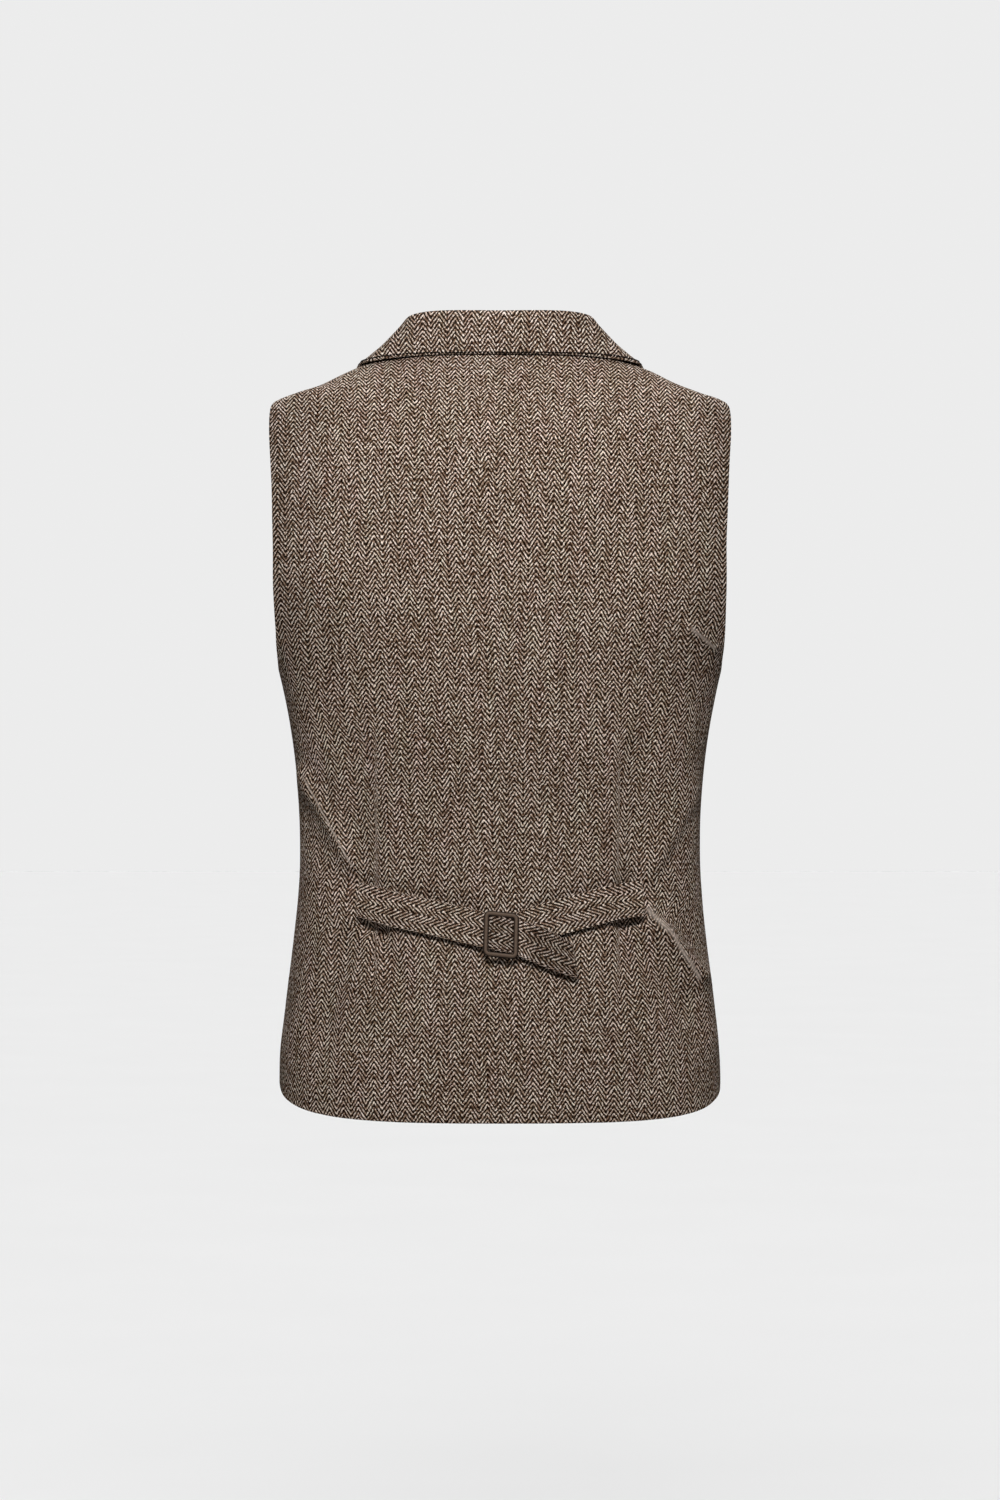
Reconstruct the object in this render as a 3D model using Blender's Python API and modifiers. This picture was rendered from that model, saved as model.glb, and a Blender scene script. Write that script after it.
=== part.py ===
"""Suit waistcoat in herringbone tweed, hollow as worn, with a buckled strap across the back.

Metres. The wearer's left is +X, the back is +Y and up is +Z.
The origin is midway between the two points where the shoulder seams meet the neck.
"""
import math

import bmesh
import bpy
import numpy as np
from mathutils import Matrix

# Wall of the panels, of the straps, and the gap left at a seam
WALL = 0.0020
STRAP_WALL = 0.0014
SEAM = 0.00034

# Rings of the body, top to bottom: height, half width, depth of the back, depth of the front
BODY = (
    (0.012, 0.0480, 0.0550, 0.0480),
    (0.000, 0.0784, 0.0600, 0.0520),
    (-0.020, 0.1248, 0.0680, 0.0595),
    (-0.030, 0.1464, 0.0720, 0.0637),
    (-0.040, 0.1752, 0.0760, 0.0680),
    (-0.044, 0.1825, 0.0775, 0.0700),
    (-0.048, 0.1868, 0.0790, 0.0720),
    (-0.056, 0.1905, 0.0815, 0.0755),
    (-0.070, 0.1938, 0.0860, 0.0820),
    (-0.100, 0.1960, 0.0940, 0.0960),
    (-0.150, 0.1950, 0.0980, 0.1140),
    (-0.200, 0.1900, 0.0980, 0.1240),
    (-0.232, 0.1840, 0.0960, 0.1275),
    (-0.258, 0.1765, 0.0935, 0.1295),
    (-0.280, 0.1715, 0.0905, 0.1300),
    (-0.312, 0.1660, 0.0855, 0.1295),
    (-0.360, 0.1610, 0.0770, 0.1275),
    (-0.400, 0.1596, 0.0725, 0.1265),
    (-0.440, 0.1616, 0.0740, 0.1270),
    (-0.480, 0.1660, 0.0785, 0.1280),
    (-0.520, 0.1710, 0.0840, 0.1290),
    (-0.568, 0.1758, 0.0900, 0.1295),
    (-0.600, 0.1764, 0.0930, 0.1300),
    (-0.660, 0.1764, 0.0950, 0.1300),
)
ROUND = 2.3

# Edge of the armhole, shoulder tip to underarm: height, distance out on the back and on the front
ARMHOLE = (
    (-0.040, 0.1752, 0.1752),
    (-0.042, 0.1782, 0.1768),
    (-0.046, 0.1815, 0.1782),
    (-0.052, 0.1828, 0.1772),
    (-0.064, 0.1832, 0.1742),
    (-0.088, 0.1820, 0.1690),
    (-0.120, 0.1803, 0.1652),
    (-0.160, 0.1786, 0.1638),
    (-0.200, 0.1780, 0.1662),
    (-0.232, 0.1776, 0.1706),
    (-0.250, 0.1768, 0.1742),
    (-0.258, 0.1765, 0.1765),
)
TIP = -0.040
UNDERARM = -0.258

# Rows of the back, by the height of their side edge
BACK_ROWS = (
    -0.584, -0.568, -0.545, -0.520, -0.495, -0.475, -0.455, -0.435, -0.415, -0.395, -0.370,
    -0.345, -0.320, -0.298, -0.276, -0.258, -0.250, -0.240, -0.225, -0.200, -0.175, -0.150,
    -0.125, -0.100, -0.080, -0.065, -0.055, -0.048, -0.044, -0.040, -0.030, -0.020, -0.010, 0.0,
)
BACK_COLUMNS = 16
# The hem hangs lower at the centre; the drop fades out up to HEM_FADE
HEM_DROP = 0.027
HEM_FADE = -0.320
HEM_POWER = 2.8

# Rows of a front: inner edge distance and height, height of the outer edge
FRONT_ROWS = (
    (0.0660, -0.6260, -0.584),
    (0.0460, -0.6120, -0.572),
    (0.0200, -0.5920, -0.552),
    (-0.0040, -0.5680, -0.528),
    (-0.0170, -0.5400, -0.500),
    (-0.0200, -0.5100, -0.470),
    (-0.0200, -0.4800, -0.440),
    (-0.0200, -0.4400, -0.405),
    (-0.0200, -0.4000, -0.370),
    (-0.0200, -0.3600, -0.335),
    (-0.0200, -0.3200, -0.300),
    (-0.0200, -0.2920, -0.276),
    (-0.0150, -0.2700, -0.258),
    (-0.0080, -0.2560, -0.252),
    (0.0010, -0.2400, -0.242),
    (0.0120, -0.2170, -0.227),
    (0.0240, -0.1900, -0.206),
    (0.0350, -0.1630, -0.184),
    (0.0450, -0.1370, -0.160),
    (0.0545, -0.1100, -0.134),
    (0.0630, -0.0830, -0.108),
    (0.0700, -0.0560, -0.083),
    (0.0755, -0.0300, -0.062),
    (0.0782, -0.0150, -0.053),
    (0.0786, -0.0060, -0.048),
    (0.0786, -0.0018, -0.044),
    (0.0785, -0.0001, -0.0402),
    (0.0784, 0.0000, -0.040),
)
FRONT_COLUMNS = 12
# How far the right front lies in under the left one, and where that fades out, outwards and up
UNDER = 0.0029
UNDER_OUT = (0.024, 0.060)
UNDER_UP = (-0.245, -0.160)

# Largest folds: from (x, z) to (x, z), half width, height out of the cloth
FOLDS = (
    (0.1560, -0.348, 0.1240, -0.404, 0.012, 0.0030),
    (0.1480, -0.372, 0.1200, -0.425, 0.012, -0.0030),
    (0.0990, -0.325, 0.0990, -0.418, 0.011, -0.0030),
    (-0.0930, -0.327, -0.0930, -0.420, 0.011, -0.0030),
    (-0.1240, -0.410, -0.1560, -0.352, 0.012, 0.0028),
    (-0.1290, -0.462, -0.1575, -0.499, 0.011, 0.0045),
    (-0.1630, -0.512, -0.1680, -0.549, 0.012, 0.0022),
    (-0.1120, -0.480, -0.1500, -0.535, 0.015, -0.0035),
    (0.1220, -0.470, 0.1420, -0.535, 0.014, -0.0045),
    (0.0900, -0.470, 0.0750, -0.510, 0.012, -0.0030),
)

# Collar: turn from the centre back in degrees, stand of the roll top out and up, then the roll's
# outer side out and up; the front rows give the height on the neck edge instead of the turn
COLLAR_BACK = (
    (0.0, -0.0010, 0.0240, 0.0045, 0.0185),
    (45.0, -0.0020, 0.0256, 0.0038, 0.0192),
    (70.0, -0.0034, 0.0232, 0.0022, 0.0180),
    (90.0, -0.0044, 0.0212, 0.0006, 0.0168),
)
COLLAR_FRONT = (
    (-0.0018, -0.0044, 0.0190, 0.0006, 0.0155),
    (-0.0150, -0.0040, 0.0130, 0.0012, 0.0110),
    (-0.0400, -0.0030, 0.0070, 0.0020, 0.0066),
    (-0.0755, -0.0022, 0.0014, 0.0022, 0.0036),
)
# Where the fall lies on the fronts: middle x and z, edge x and z, shoulder first
FALL_FRONT = (
    (0.0960, -0.0030, 0.1136, -0.0141),
    (0.0960, -0.0165, 0.1140, -0.0200),
    (0.0940, -0.0430, 0.1125, -0.0330),
    (0.0900, -0.0800, 0.1110, -0.0580),
)
FALL_DROP = 0.0085
FALL_DROP_SIDE = 0.0056
COLLAR_WALL = 0.0018
# Stations of the collar: turns round the back neck, then heights down the front neck edge
NECK_TURNS = (0.0, 12.0, 24.0, 36.0, 48.0, 60.0, 71.0, 81.0, 90.0)
NECK_HEIGHTS = (-0.0018, -0.0060, -0.0150, -0.0270, -0.0400, -0.0520, -0.0640, -0.0755)
# Steps of its section: base 0, roll's top 1, roll's outer side 2, middle of the fall 3, edge 4
SECTION = (0, 0.5, 0.85, 1.0, 1.3, 1.65, 2.0, 2.5, 3.0, 3.5, 4.0)
STAND_LOW = 0.0010
FALL_CLEAR = 0.0010
FALL_CLEAR_FRONT = 0.0019
FALL_ARCH = 0.0010
FALL_DIP = 0.0031
FALL_ARCH_FRONT = 0.0030
FALL_ARCH_LOSS = 0.0006
LEAN_IN = (0.0, -0.060)

# Lapel, break to gorge: height of the inner edge, width, rise of the outer edge. It rolls round
# the front edge and stands clear of the front, most at a third of its width
BREAK_OVER = -0.256
BREAK_UNDER = -0.235
LAPEL = (
    (-0.262, 0.006, 0.006),
    (-0.235, 0.018, 0.012),
    (-0.200, 0.032, 0.012),
    (-0.160, 0.045, 0.008),
    (-0.120, 0.056, 0.000),
    (-0.090, 0.062, -0.006),
    (-0.0785, 0.059, -0.012),
)
LAPEL_SHARES = (0.0, 0.12, 0.3, 0.5, 0.75, 1.0)
LAPEL_CLEAR = 0.0013
LAPEL_ARCH = 0.0025
LAPEL_NOSE = 0.0006
LAPEL_TUCK = 0.0010

# Straps: x and z of the middle line, height of the middle of the wall over the back
STRAP_LEFT = (
    (0.1125, -0.4373, 0.0016),
    (0.0980, -0.4413, 0.0016),
    (0.0840, -0.4449, 0.0018),
    (0.0650, -0.4489, 0.0021),
    (0.0454, -0.4532, 0.0024),
    (0.0280, -0.4574, 0.0029),
    (0.0170, -0.4600, 0.0037),
    (0.0115, -0.4613, 0.0043),
    (0.0055, -0.4630, 0.0061),
    (0.0000, -0.4644, 0.0068),
    (-0.0060, -0.4653, 0.0062),
    (-0.0118, -0.4664, 0.0045),
    (-0.0180, -0.4685, 0.0044),
    (-0.0270, -0.4722, 0.0045),
    (-0.0370, -0.4765, 0.0048),
    (-0.0480, -0.4815, 0.0053),
    (-0.0585, -0.4862, 0.0059),
)
STRAP_RIGHT = (
    (-0.1125, -0.4369, 0.0016),
    (-0.1030, -0.4378, 0.0016),
    (-0.0856, -0.4406, 0.0019),
    (-0.0690, -0.4452, 0.0021),
    (-0.0470, -0.4508, 0.0024),
    (-0.0300, -0.4560, 0.0027),
    (-0.0180, -0.4600, 0.0027),
    (-0.0110, -0.4625, 0.0028),
)
STRAP_WIDTH = 0.028
STRAP_ACROSS = 4
# Distances from the buckle over which a strap's rows turn to the bar, and from the centre over
# which they turn upright into their seam; the long strap's free end turns to the line TAIL_EDGE
AT_BAR = (0.007, 0.032)
AT_SEAM = (0.085, 0.105)
AT_TAIL = (0.030, 0.0585)
TAIL_EDGE = (-0.12, -0.99)
LOOP_RADIUS = 0.0020
LOOP_RETURN = 0.016
LOOP_START = (-0.0050, 0.0004)
LOOP_SAG = 0.0010
LOOP_CLOSE = 0.0001

# Slide buckle: outer size, wire, corner, centre, lean in its plane and height over the back
BUCKLE_WIDTH = 0.0258
BUCKLE_HEIGHT = 0.0384
BUCKLE_WIRE = 0.0013
BUCKLE_CORNER = 0.0042
BUCKLE_X = -0.0008
BUCKLE_Z = -0.4651
BUCKLE_LEAN = math.radians(5.0)
BUCKLE_OUT = 0.0071
BAR_WIRE = 0.0010
BAR_OUT = 0.0030
# Middle bar: share of the half height, height under the frame's own
BAR = (
    (-1.00, 0.0000),
    (-0.96, 0.0010),
    (-0.90, 0.0041),
    (-0.60, 0.0041),
    (0.60, 0.0041),
    (0.90, 0.0041),
    (0.96, 0.0010),
    (1.00, 0.0000),
)
# The buckle's lower side stands out, and the straps near it with it
TILT = 0.09
TILT_RAISE = 0.0016
TILT_REACH = (0.022, 0.065)

# Buttons: heights, radius, thickness, holes
BUTTONS = (-0.266, -0.326, -0.386, -0.446, -0.506)
BUTTON_RADIUS = 0.0075
BUTTON_THICK = 0.0030
BUTTON_STEPS = 24
HOLE_RADIUS = 0.0009
HOLE_OFF = 0.0016
HOLE_SIDES = 8
# Half of a button's section: share of the radius, share of the thickness
BUTTON_SECTION = (
    (0.00, 0.00),
    (0.86, 0.00),
    (1.00, 0.35),
    (1.00, 0.75),
    (0.93, 1.00),
    (0.80, 1.00),
    (0.68, 0.72),
    (0.00, 0.72),
)

TWEED = ("tweed", (0.20, 0.15, 0.12, 1.0), 0.9, 0.0)
BRONZE = ("dark_bronze", (0.06, 0.05, 0.04, 1.0), 0.4, 0.8)
HORN = ("brown_horn", (0.07, 0.045, 0.03, 1.0), 0.35, 0.0)


def smooth(xs, ys, at):
    """Cubic through the points (xs, ys), with slopes from their neighbours."""
    xs = np.asarray(xs, float)
    ys = np.asarray(ys, float)
    if xs[0] > xs[-1]:
        xs, ys = xs[::-1], ys[::-1]
    at = np.clip(np.asarray(at, float), xs[0], xs[-1])
    slope = np.gradient(ys, xs, axis=0)
    k = np.clip(np.searchsorted(xs, at) - 1, 0, len(xs) - 2)
    h = xs[k + 1] - xs[k]
    t = (at - xs[k]) / h
    if ys.ndim > 1:
        t = t[..., None]
        h = h[..., None]
    start = (2 * t ** 3 - 3 * t ** 2 + 1) * ys[k] + (t ** 3 - 2 * t ** 2 + t) * h * slope[k]
    end = (3 * t ** 2 - 2 * t ** 3) * ys[k + 1] + (t ** 3 - t ** 2) * h * slope[k + 1]
    return start + end


def unit(v):
    return v / np.maximum(np.linalg.norm(v, axis=-1, keepdims=True), 1e-12)


def blend(low, high, at):
    t = np.clip((at - low) / (high - low), 0, 1)
    return t * t * (3 - 2 * t)


def ring(turn, z):
    """Point of the body at a turn from the centre back and a height."""
    body = np.array(BODY)
    z = np.asarray(z, float)
    shape = smooth(body[:, 0], body[:, 1:], z)
    s, c = np.sin(turn), np.cos(turn)
    depth = np.where(c > 0, shape[..., 1], shape[..., 2])
    x = shape[..., 0] * np.sign(s) * np.abs(s) ** (2 / ROUND)
    y = depth * np.sign(c) * np.abs(c) ** (2 / ROUND)
    return np.stack([x, y, z + 0 * x], -1)


def outward(turn, z):
    """Unit normal of the body."""
    e = 1e-4
    along = ring(turn + e, z) - ring(turn - e, z)
    up = ring(turn, z + e) - ring(turn, z - e)
    return unit(np.cross(up, along))


def turn_of(x, z, front=False):
    """Turn from the centre back of the point x out at height z."""
    body = np.array(BODY)
    half = smooth(body[:, 0], body[:, 1], z)
    a = np.arcsin(np.sign(x) * np.minimum(np.abs(x) / half, 1) ** (ROUND / 2))
    return math.pi - a if front else a


def folds(p):
    """Height of the folds at points on the back: a bell across each line, faded at its ends."""
    total = np.zeros(p.shape[:-1])
    for x0, z0, x1, z1, width, height in FOLDS:
        run = np.array([x1 - x0, z1 - z0])
        off = p[..., [0, 2]] - [x0, z0]
        along = off @ run / (run @ run)
        near = np.clip(along, 0, 1)
        far = np.linalg.norm(off - near[..., None] * run, axis=-1)
        total += height * np.exp(-(far / width) ** 2)
    return total * blend(0.004, 0.03, p[..., 1])


def on_back(x, z, out=0.0):
    """Point of the folded back at x and z, moved out along its normal."""
    turn = turn_of(x, z)
    p = ring(turn, z)
    return p + outward(turn, z) * (folds(p) + out)[..., None]


def on_front(x, z, out=0.0):
    """Point of the left front at x and z, moved out along its normal."""
    turn = turn_of(x, z, True)
    return ring(turn, z) + outward(turn, z) * np.reshape(out, (-1, 1))


def columns(count):
    """Even steps with a narrow one beside each edge, so that both sides of a seam meet square."""
    return np.concatenate([[0, 0.01], np.linspace(0, 1, count - 1)[1:-1], [0.99, 1]])


def armhole_turn(z, side):
    """Turn of the outer edge: side seam, armhole, then shoulder seam. Side 1 is back, 2 front."""
    table = np.array(ARMHOLE)
    out = smooth(table[:, 0], table[:, side], z)
    turn = turn_of(out, z)
    return np.where((z > UNDERARM) & (z < TIP), turn, math.pi / 2)


def material(kind):
    name, colour, rough, metal = kind
    made = bpy.data.materials.get(name)
    if made:
        return made
    made = bpy.data.materials.new(name)
    made.use_nodes = True
    shader = made.node_tree.nodes["Principled BSDF"]
    shader.inputs["Base Color"].default_value = colour
    shader.inputs["Roughness"].default_value = rough
    shader.inputs["Metallic"].default_value = metal
    return made


def keep(name, mesh, kind):
    made = bpy.data.objects.new(name, mesh)
    mesh.materials.append(material(kind))
    mesh.polygons.foreach_set("use_smooth", [True] * len(mesh.polygons))
    bpy.data.collections["waistcoat"].objects.link(made)
    return made


def cloth(name, grid, wall, mirror=False, side=-1):
    """Sheet through a grid of points, made solid; side -1 keeps the grid as its outer face."""
    if mirror:
        grid = grid[:, ::-1] * [-1, 1, 1]
    rows, across = grid.shape[:2]
    n = np.arange(rows * across).reshape(rows, across)
    faces = np.stack([n[:-1, :-1], n[:-1, 1:], n[1:, 1:], n[1:, :-1]], -1).reshape(-1, 4)
    mesh = bpy.data.meshes.new(name)
    mesh.from_pydata(grid.reshape(-1, 3).tolist(), [], faces.tolist())
    mesh.update()
    made = keep(name, mesh, TWEED)
    solid = made.modifiers.new("wall", "SOLIDIFY")
    solid.thickness = wall
    solid.offset = side
    solid.use_even_offset = True
    solid.use_quality_normals = True
    return made


def back_grid(side):
    """Half of the back, hem to neck and centre seam to outer edge, with the folds of its side.

    Side 1 is the left half. Side -1 is the right half, returned on the left for mirroring.
    """
    edge = np.array(BACK_ROWS)
    share = columns(BACK_COLUMNS)
    turn = armhole_turn(edge, 1)[:, None] * share
    drop = HEM_DROP * np.clip((HEM_FADE - edge) / (HEM_FADE - edge[0]), 0, 1)
    z = edge[:, None] - drop[:, None] * (1 - share ** HEM_POWER)
    p = ring(turn, z)
    p = p + outward(turn, z) * folds(p * [side, 1, 1])[..., None]
    return p + [SEAM / 2, SEAM / 2, 0]


def front_grid(under):
    """Left front: rows from hem to shoulder seam, columns from the front edge to the outer one."""
    rows = np.array(FRONT_ROWS)
    inner = turn_of(rows[:, 0], rows[:, 1])
    outer = armhole_turn(rows[:, 2], 2)
    share = columns(FRONT_COLUMNS)
    turn = inner[:, None] + (outer - inner)[:, None] * share
    z = rows[:, 1][:, None] + (rows[:, 2] - rows[:, 1])[:, None] * share
    p = ring(math.pi - turn, z)
    n = outward(math.pi - turn, z)
    deep = under * (1 - blend(*UNDER_OUT, p[..., 0])) * (1 - blend(*UNDER_UP, z))
    return p - n * deep[..., None] - [0, SEAM / 2, 0]


def collar_grid():
    """Left half of the collar: a section at each station, from the stand's base to the fall's edge."""
    back = np.array(COLLAR_BACK)
    front = np.array(COLLAR_FRONT)
    turns = np.radians(NECK_TURNS)
    heights = np.array(NECK_HEIGHTS)
    rows = np.array(FRONT_ROWS)
    neck_x = smooth(rows[:, 1], rows[:, 0], heights)
    level = 0 * turns
    edge = np.concatenate([ring(turns, level), on_front(neck_x, heights)])
    normal = np.concatenate([outward(turns, level), outward(turn_of(neck_x, heights, True), heights)])
    tangent = unit(np.gradient(edge, axis=0))
    up = np.array([0, 0, 1.0])
    lean = np.concatenate([level, blend(*LEAN_IN, heights)])[:, None]
    rise = unit(up * (1 - lean) + normal * lean)
    away = unit(np.cross(up, tangent)) * (1 - lean) + np.cross(normal, tangent) * lean
    away = unit(away - rise * np.sum(away * rise, -1, keepdims=True))
    shape = np.concatenate([
        smooth(np.radians(back[:, 0]), back[:, 1:], turns),
        smooth(front[:, 0], front[:, 1:], heights),
    ])
    flat = np.linalg.norm(normal[:, :2], axis=1)[:, None] * (1 - lean)
    base = edge - away * (SEAM + COLLAR_WALL / 2 + WALL * flat) - rise * STAND_LOW
    top = edge + away * (shape[:, 0:1] - WALL / 2 * flat) + rise * shape[:, 1:2]
    side = edge + away * shape[:, 2:3] + rise * shape[:, 3:4]
    lift = FALL_CLEAR + COLLAR_WALL / 2
    low = -FALL_DROP - FALL_DROP_SIDE * np.sin(turns) ** 3
    hang = ring(turns, low) + outward(turns, low) * lift
    fall = np.array(FALL_FRONT)
    steps = np.linspace(0, len(fall) - 1, len(heights) + 1)[1:]
    fall = smooth(np.arange(len(fall)), fall, steps)
    end = np.concatenate([hang, on_front(fall[:, 2], fall[:, 3], [FALL_CLEAR_FRONT + COLLAR_WALL / 2])])
    at_side = np.concatenate([np.sin(turns) ** 6, 1 + 0 * heights])[:, None]
    middle = (side + end) / 2 + away * (FALL_ARCH - FALL_DIP * at_side)
    lie = on_front(fall[:, 0], fall[:, 1], lift + FALL_ARCH_FRONT - FALL_ARCH_LOSS * steps)
    share = blend(0.0, 1.6, steps)[:, None]
    middle[len(turns):] = middle[len(turns):] * (1 - share) + lie * share
    knots = np.stack([base, top, side, middle, end])
    grid = smooth(np.arange(len(knots)), knots.reshape(len(knots), -1), np.array(SECTION))
    return grid.reshape(len(SECTION), -1, 3)


def lapel_grid(start):
    """Left lapel: rows from the break to the gorge, a roll round the front edge, then flat."""
    rows = np.array(LAPEL)
    table = np.array(FRONT_ROWS)
    z = table[(table[:, 1] > start + 0.002) & (table[:, 1] < rows[-1, 0] - 0.002), 1]
    z = np.concatenate([[start], z, [rows[-1, 0]]])
    width = smooth(rows[:, 0], rows[:, 1], z)
    rise = smooth(rows[:, 0], rows[:, 2], z)
    inner = smooth(table[:, 1], table[:, 0], z)
    wall = COLLAR_WALL / 2
    nose = LAPEL_NOSE + wall
    grid = [on_front(inner - nose, z, -LAPEL_TUCK), on_front(inner - 0.75 * nose, z, LAPEL_NOSE)]
    for share in LAPEL_SHARES:
        arch = math.sin(math.pi * min(share * 1.5 + 0.12, 1.0))
        out = wall + LAPEL_CLEAR + LAPEL_ARCH * arch
        grid.append(on_front(inner + width * share, z + rise * share, out))
    return np.stack(grid)


def raised(x, z):
    """Extra height of straps and buckle over the back, more at their lower side near the middle."""
    near = 1 - blend(*TILT_REACH, np.abs(x - BUCKLE_X))
    return near * np.maximum(TILT_RAISE + TILT * (BUCKLE_Z - z), 0)


def strap_grid(line, free_end):
    """Band round a middle line: columns along it, rows across its width."""
    line = np.array(line)
    step = np.linalg.norm(np.diff(line, axis=0), axis=1)
    far = np.concatenate([[0], np.cumsum(step)])
    along = unit(np.gradient(line[:, :2], far, axis=0))
    side = np.stack([along[:, 1], -along[:, 0]], -1) * np.sign(along[:1, 0:1])
    bar = [math.sin(BUCKLE_LEAN), -math.cos(BUCKLE_LEAN)]
    near = 1 - blend(*AT_BAR, np.abs(line[:, 0] - BUCKLE_X))
    side = unit(side * (1 - near[:, None]) + near[:, None] * bar)
    sewn = blend(*AT_SEAM, np.abs(line[:, 0]))[:, None]
    side = unit(side * (1 - sewn) + [0, -1] * sewn)
    tail = blend(*AT_TAIL, -line[:, 0])[:, None] * free_end
    side = unit(side * (1 - tail) + np.array(TAIL_EDGE) * tail)
    grid = []
    for across in np.linspace(-0.5, 0.5, STRAP_ACROSS + 1) * STRAP_WIDTH:
        x = line[:, 0] + side[:, 0] * across
        z = line[:, 1] + side[:, 1] * across
        grid.append(on_back(x, z, line[:, 2] + raised(x, z)))
    return np.stack(grid)


def loop_line():
    """Middle line of the short strap: over the middle bar, round it and back underneath."""
    line = list(STRAP_RIGHT)
    slope = math.tan(BUCKLE_LEAN)
    start_x, start_z = LOOP_START
    line.append((BUCKLE_X + start_x, BUCKLE_Z + start_z, BAR_OUT + LOOP_RADIUS - LOOP_SAG))
    for k in range(7):
        a = math.pi * k / 6
        go = LOOP_RADIUS * math.sin(a)
        line.append((BUCKLE_X + go, BUCKLE_Z + slope * go, BAR_OUT + LOOP_RADIUS * math.cos(a)))
    for k in range(1, 4):
        go = -LOOP_RETURN * k / 3
        low = BAR_OUT - LOOP_RADIUS - LOOP_CLOSE * k
        line.append((BUCKLE_X + go, BUCKLE_Z + slope * go, low))
    return line


def wire(name, points, radius, closed):
    """Mesh of a round wire along points, made from a bevelled curve."""
    curve = bpy.data.curves.new(name, "CURVE")
    curve.dimensions = "3D"
    curve.bevel_depth = radius
    curve.bevel_resolution = 2
    curve.use_fill_caps = True
    line = curve.splines.new("POLY")
    line.points.add(len(points) - 1)
    flat = np.concatenate([points, np.ones((len(points), 1))], 1)
    line.points.foreach_set("co", flat.ravel())
    line.use_cyclic_u = closed
    made = bpy.data.objects.new(name, curve)
    bpy.context.scene.collection.objects.link(made)
    bpy.context.view_layer.update()
    seen = made.evaluated_get(bpy.context.evaluated_depsgraph_get())
    mesh = bpy.data.meshes.new_from_object(seen)
    bpy.data.objects.remove(made)
    return mesh


def combine(made, name, mesh, operation):
    """Boolean of an object with a second mesh that shares its place."""
    tool = bpy.data.objects.new(name, mesh)
    bpy.data.collections["waistcoat"].objects.link(tool)
    tool.parent = made
    tool.hide_render = True
    tool.display_type = "WIRE"
    step = made.modifiers.new(name, "BOOLEAN")
    step.operation = operation
    step.solver = "EXACT"
    step.object = tool


def buckle_points(across, down, out):
    """Points of the buckle's plane, turned by its lean and laid over the back."""
    c, s = math.cos(BUCKLE_LEAN), math.sin(BUCKLE_LEAN)
    x = BUCKLE_X - (across * c - down * s)
    z = BUCKLE_Z - (across * s + down * c)
    return on_back(x, z, out + raised(x, z))


def build_buckle():
    """Bent wire frame with round corners and the middle bar that the straps turn on."""
    half_w = BUCKLE_WIDTH / 2 - BUCKLE_WIRE
    half_h = BUCKLE_HEIGHT / 2 - BUCKLE_WIRE
    r = BUCKLE_CORNER - BUCKLE_WIRE
    across, down = [], []
    for corner in range(4):
        corner_x = (half_w - r) * (1 if corner in (0, 3) else -1)
        corner_y = (half_h - r) * (1 if corner in (0, 1) else -1)
        for k in range(6):
            a = math.radians(90 * corner + 18 * k)
            across.append(corner_x + r * math.cos(a))
            down.append(corner_y + r * math.sin(a))
    line = buckle_points(np.array(across), np.array(down), BUCKLE_OUT)
    made = keep("buckle", wire("frame", line, BUCKLE_WIRE, True), BRONZE)
    share, under = np.array(BAR).T
    line = buckle_points(0 * share, half_h * share, BUCKLE_OUT - under)
    combine(made, "bar", wire("bar", line, BAR_WIRE, False), "UNION")


def build_button(name, height):
    """Turned disc with a rim and a dished face, four holes, facing the front."""
    mesh = bpy.data.meshes.new(name)
    section = [(a * BUTTON_RADIUS, 0, b * BUTTON_THICK) for a, b in BUTTON_SECTION]
    mesh.from_pydata(section, [(k, k + 1) for k in range(len(section) - 1)], [])
    made = keep(name, mesh, HORN)
    turned = made.modifiers.new("turned", "SCREW")
    turned.steps = BUTTON_STEPS
    turned.render_steps = BUTTON_STEPS
    turned.use_merge_vertices = True
    turned.merge_threshold = 0.00001
    turned.use_normal_calculate = True
    made.location = on_front(np.zeros(1), np.array([height]), SEAM)[0]
    normal = outward(np.array([math.pi]), np.array([height]))[0]
    made.rotation_euler = (math.atan2(-normal[1], normal[2]), 0, 0)
    drill = bpy.data.meshes.new(name + "_holes")
    tool = bmesh.new()
    for k in range(4):
        a = math.radians(90 * k + 45)
        at = (HOLE_OFF * math.cos(a), HOLE_OFF * math.sin(a), BUTTON_THICK / 2)
        bmesh.ops.create_cone(tool, cap_ends=True, segments=HOLE_SIDES, radius1=HOLE_RADIUS,
                              radius2=HOLE_RADIUS, depth=3 * BUTTON_THICK,
                              matrix=Matrix.Translation(at))
    tool.to_mesh(drill)
    tool.free()
    combine(made, name + "_holes", drill, "DIFFERENCE")


def build():
    for old in list(bpy.data.objects):
        bpy.data.objects.remove(old, do_unlink=True)
    group = bpy.data.collections.new("waistcoat")
    bpy.context.scene.collection.children.link(group)
    cloth("back_left", back_grid(1)[:, ::-1], WALL)
    cloth("back_right", back_grid(-1)[:, ::-1], WALL, mirror=True)
    cloth("front_left", front_grid(0.0), WALL)
    cloth("front_right", front_grid(UNDER), WALL, mirror=True)
    half = collar_grid()
    whole = np.concatenate([(half * [-1, 1, 1])[:, :0:-1], half], 1)
    cloth("collar", whole, COLLAR_WALL, side=0)
    cloth("lapel_left", lapel_grid(BREAK_OVER), COLLAR_WALL, side=0)
    cloth("lapel_right", lapel_grid(BREAK_UNDER), COLLAR_WALL, mirror=True, side=0)
    cloth("strap_left", strap_grid(STRAP_LEFT, True), STRAP_WALL, side=0)
    cloth("strap_right", strap_grid(loop_line(), False), STRAP_WALL, side=0)
    build_buckle()
    for k, height in enumerate(BUTTONS):
        build_button("button_%d" % (k + 1), height)


build()
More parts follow.
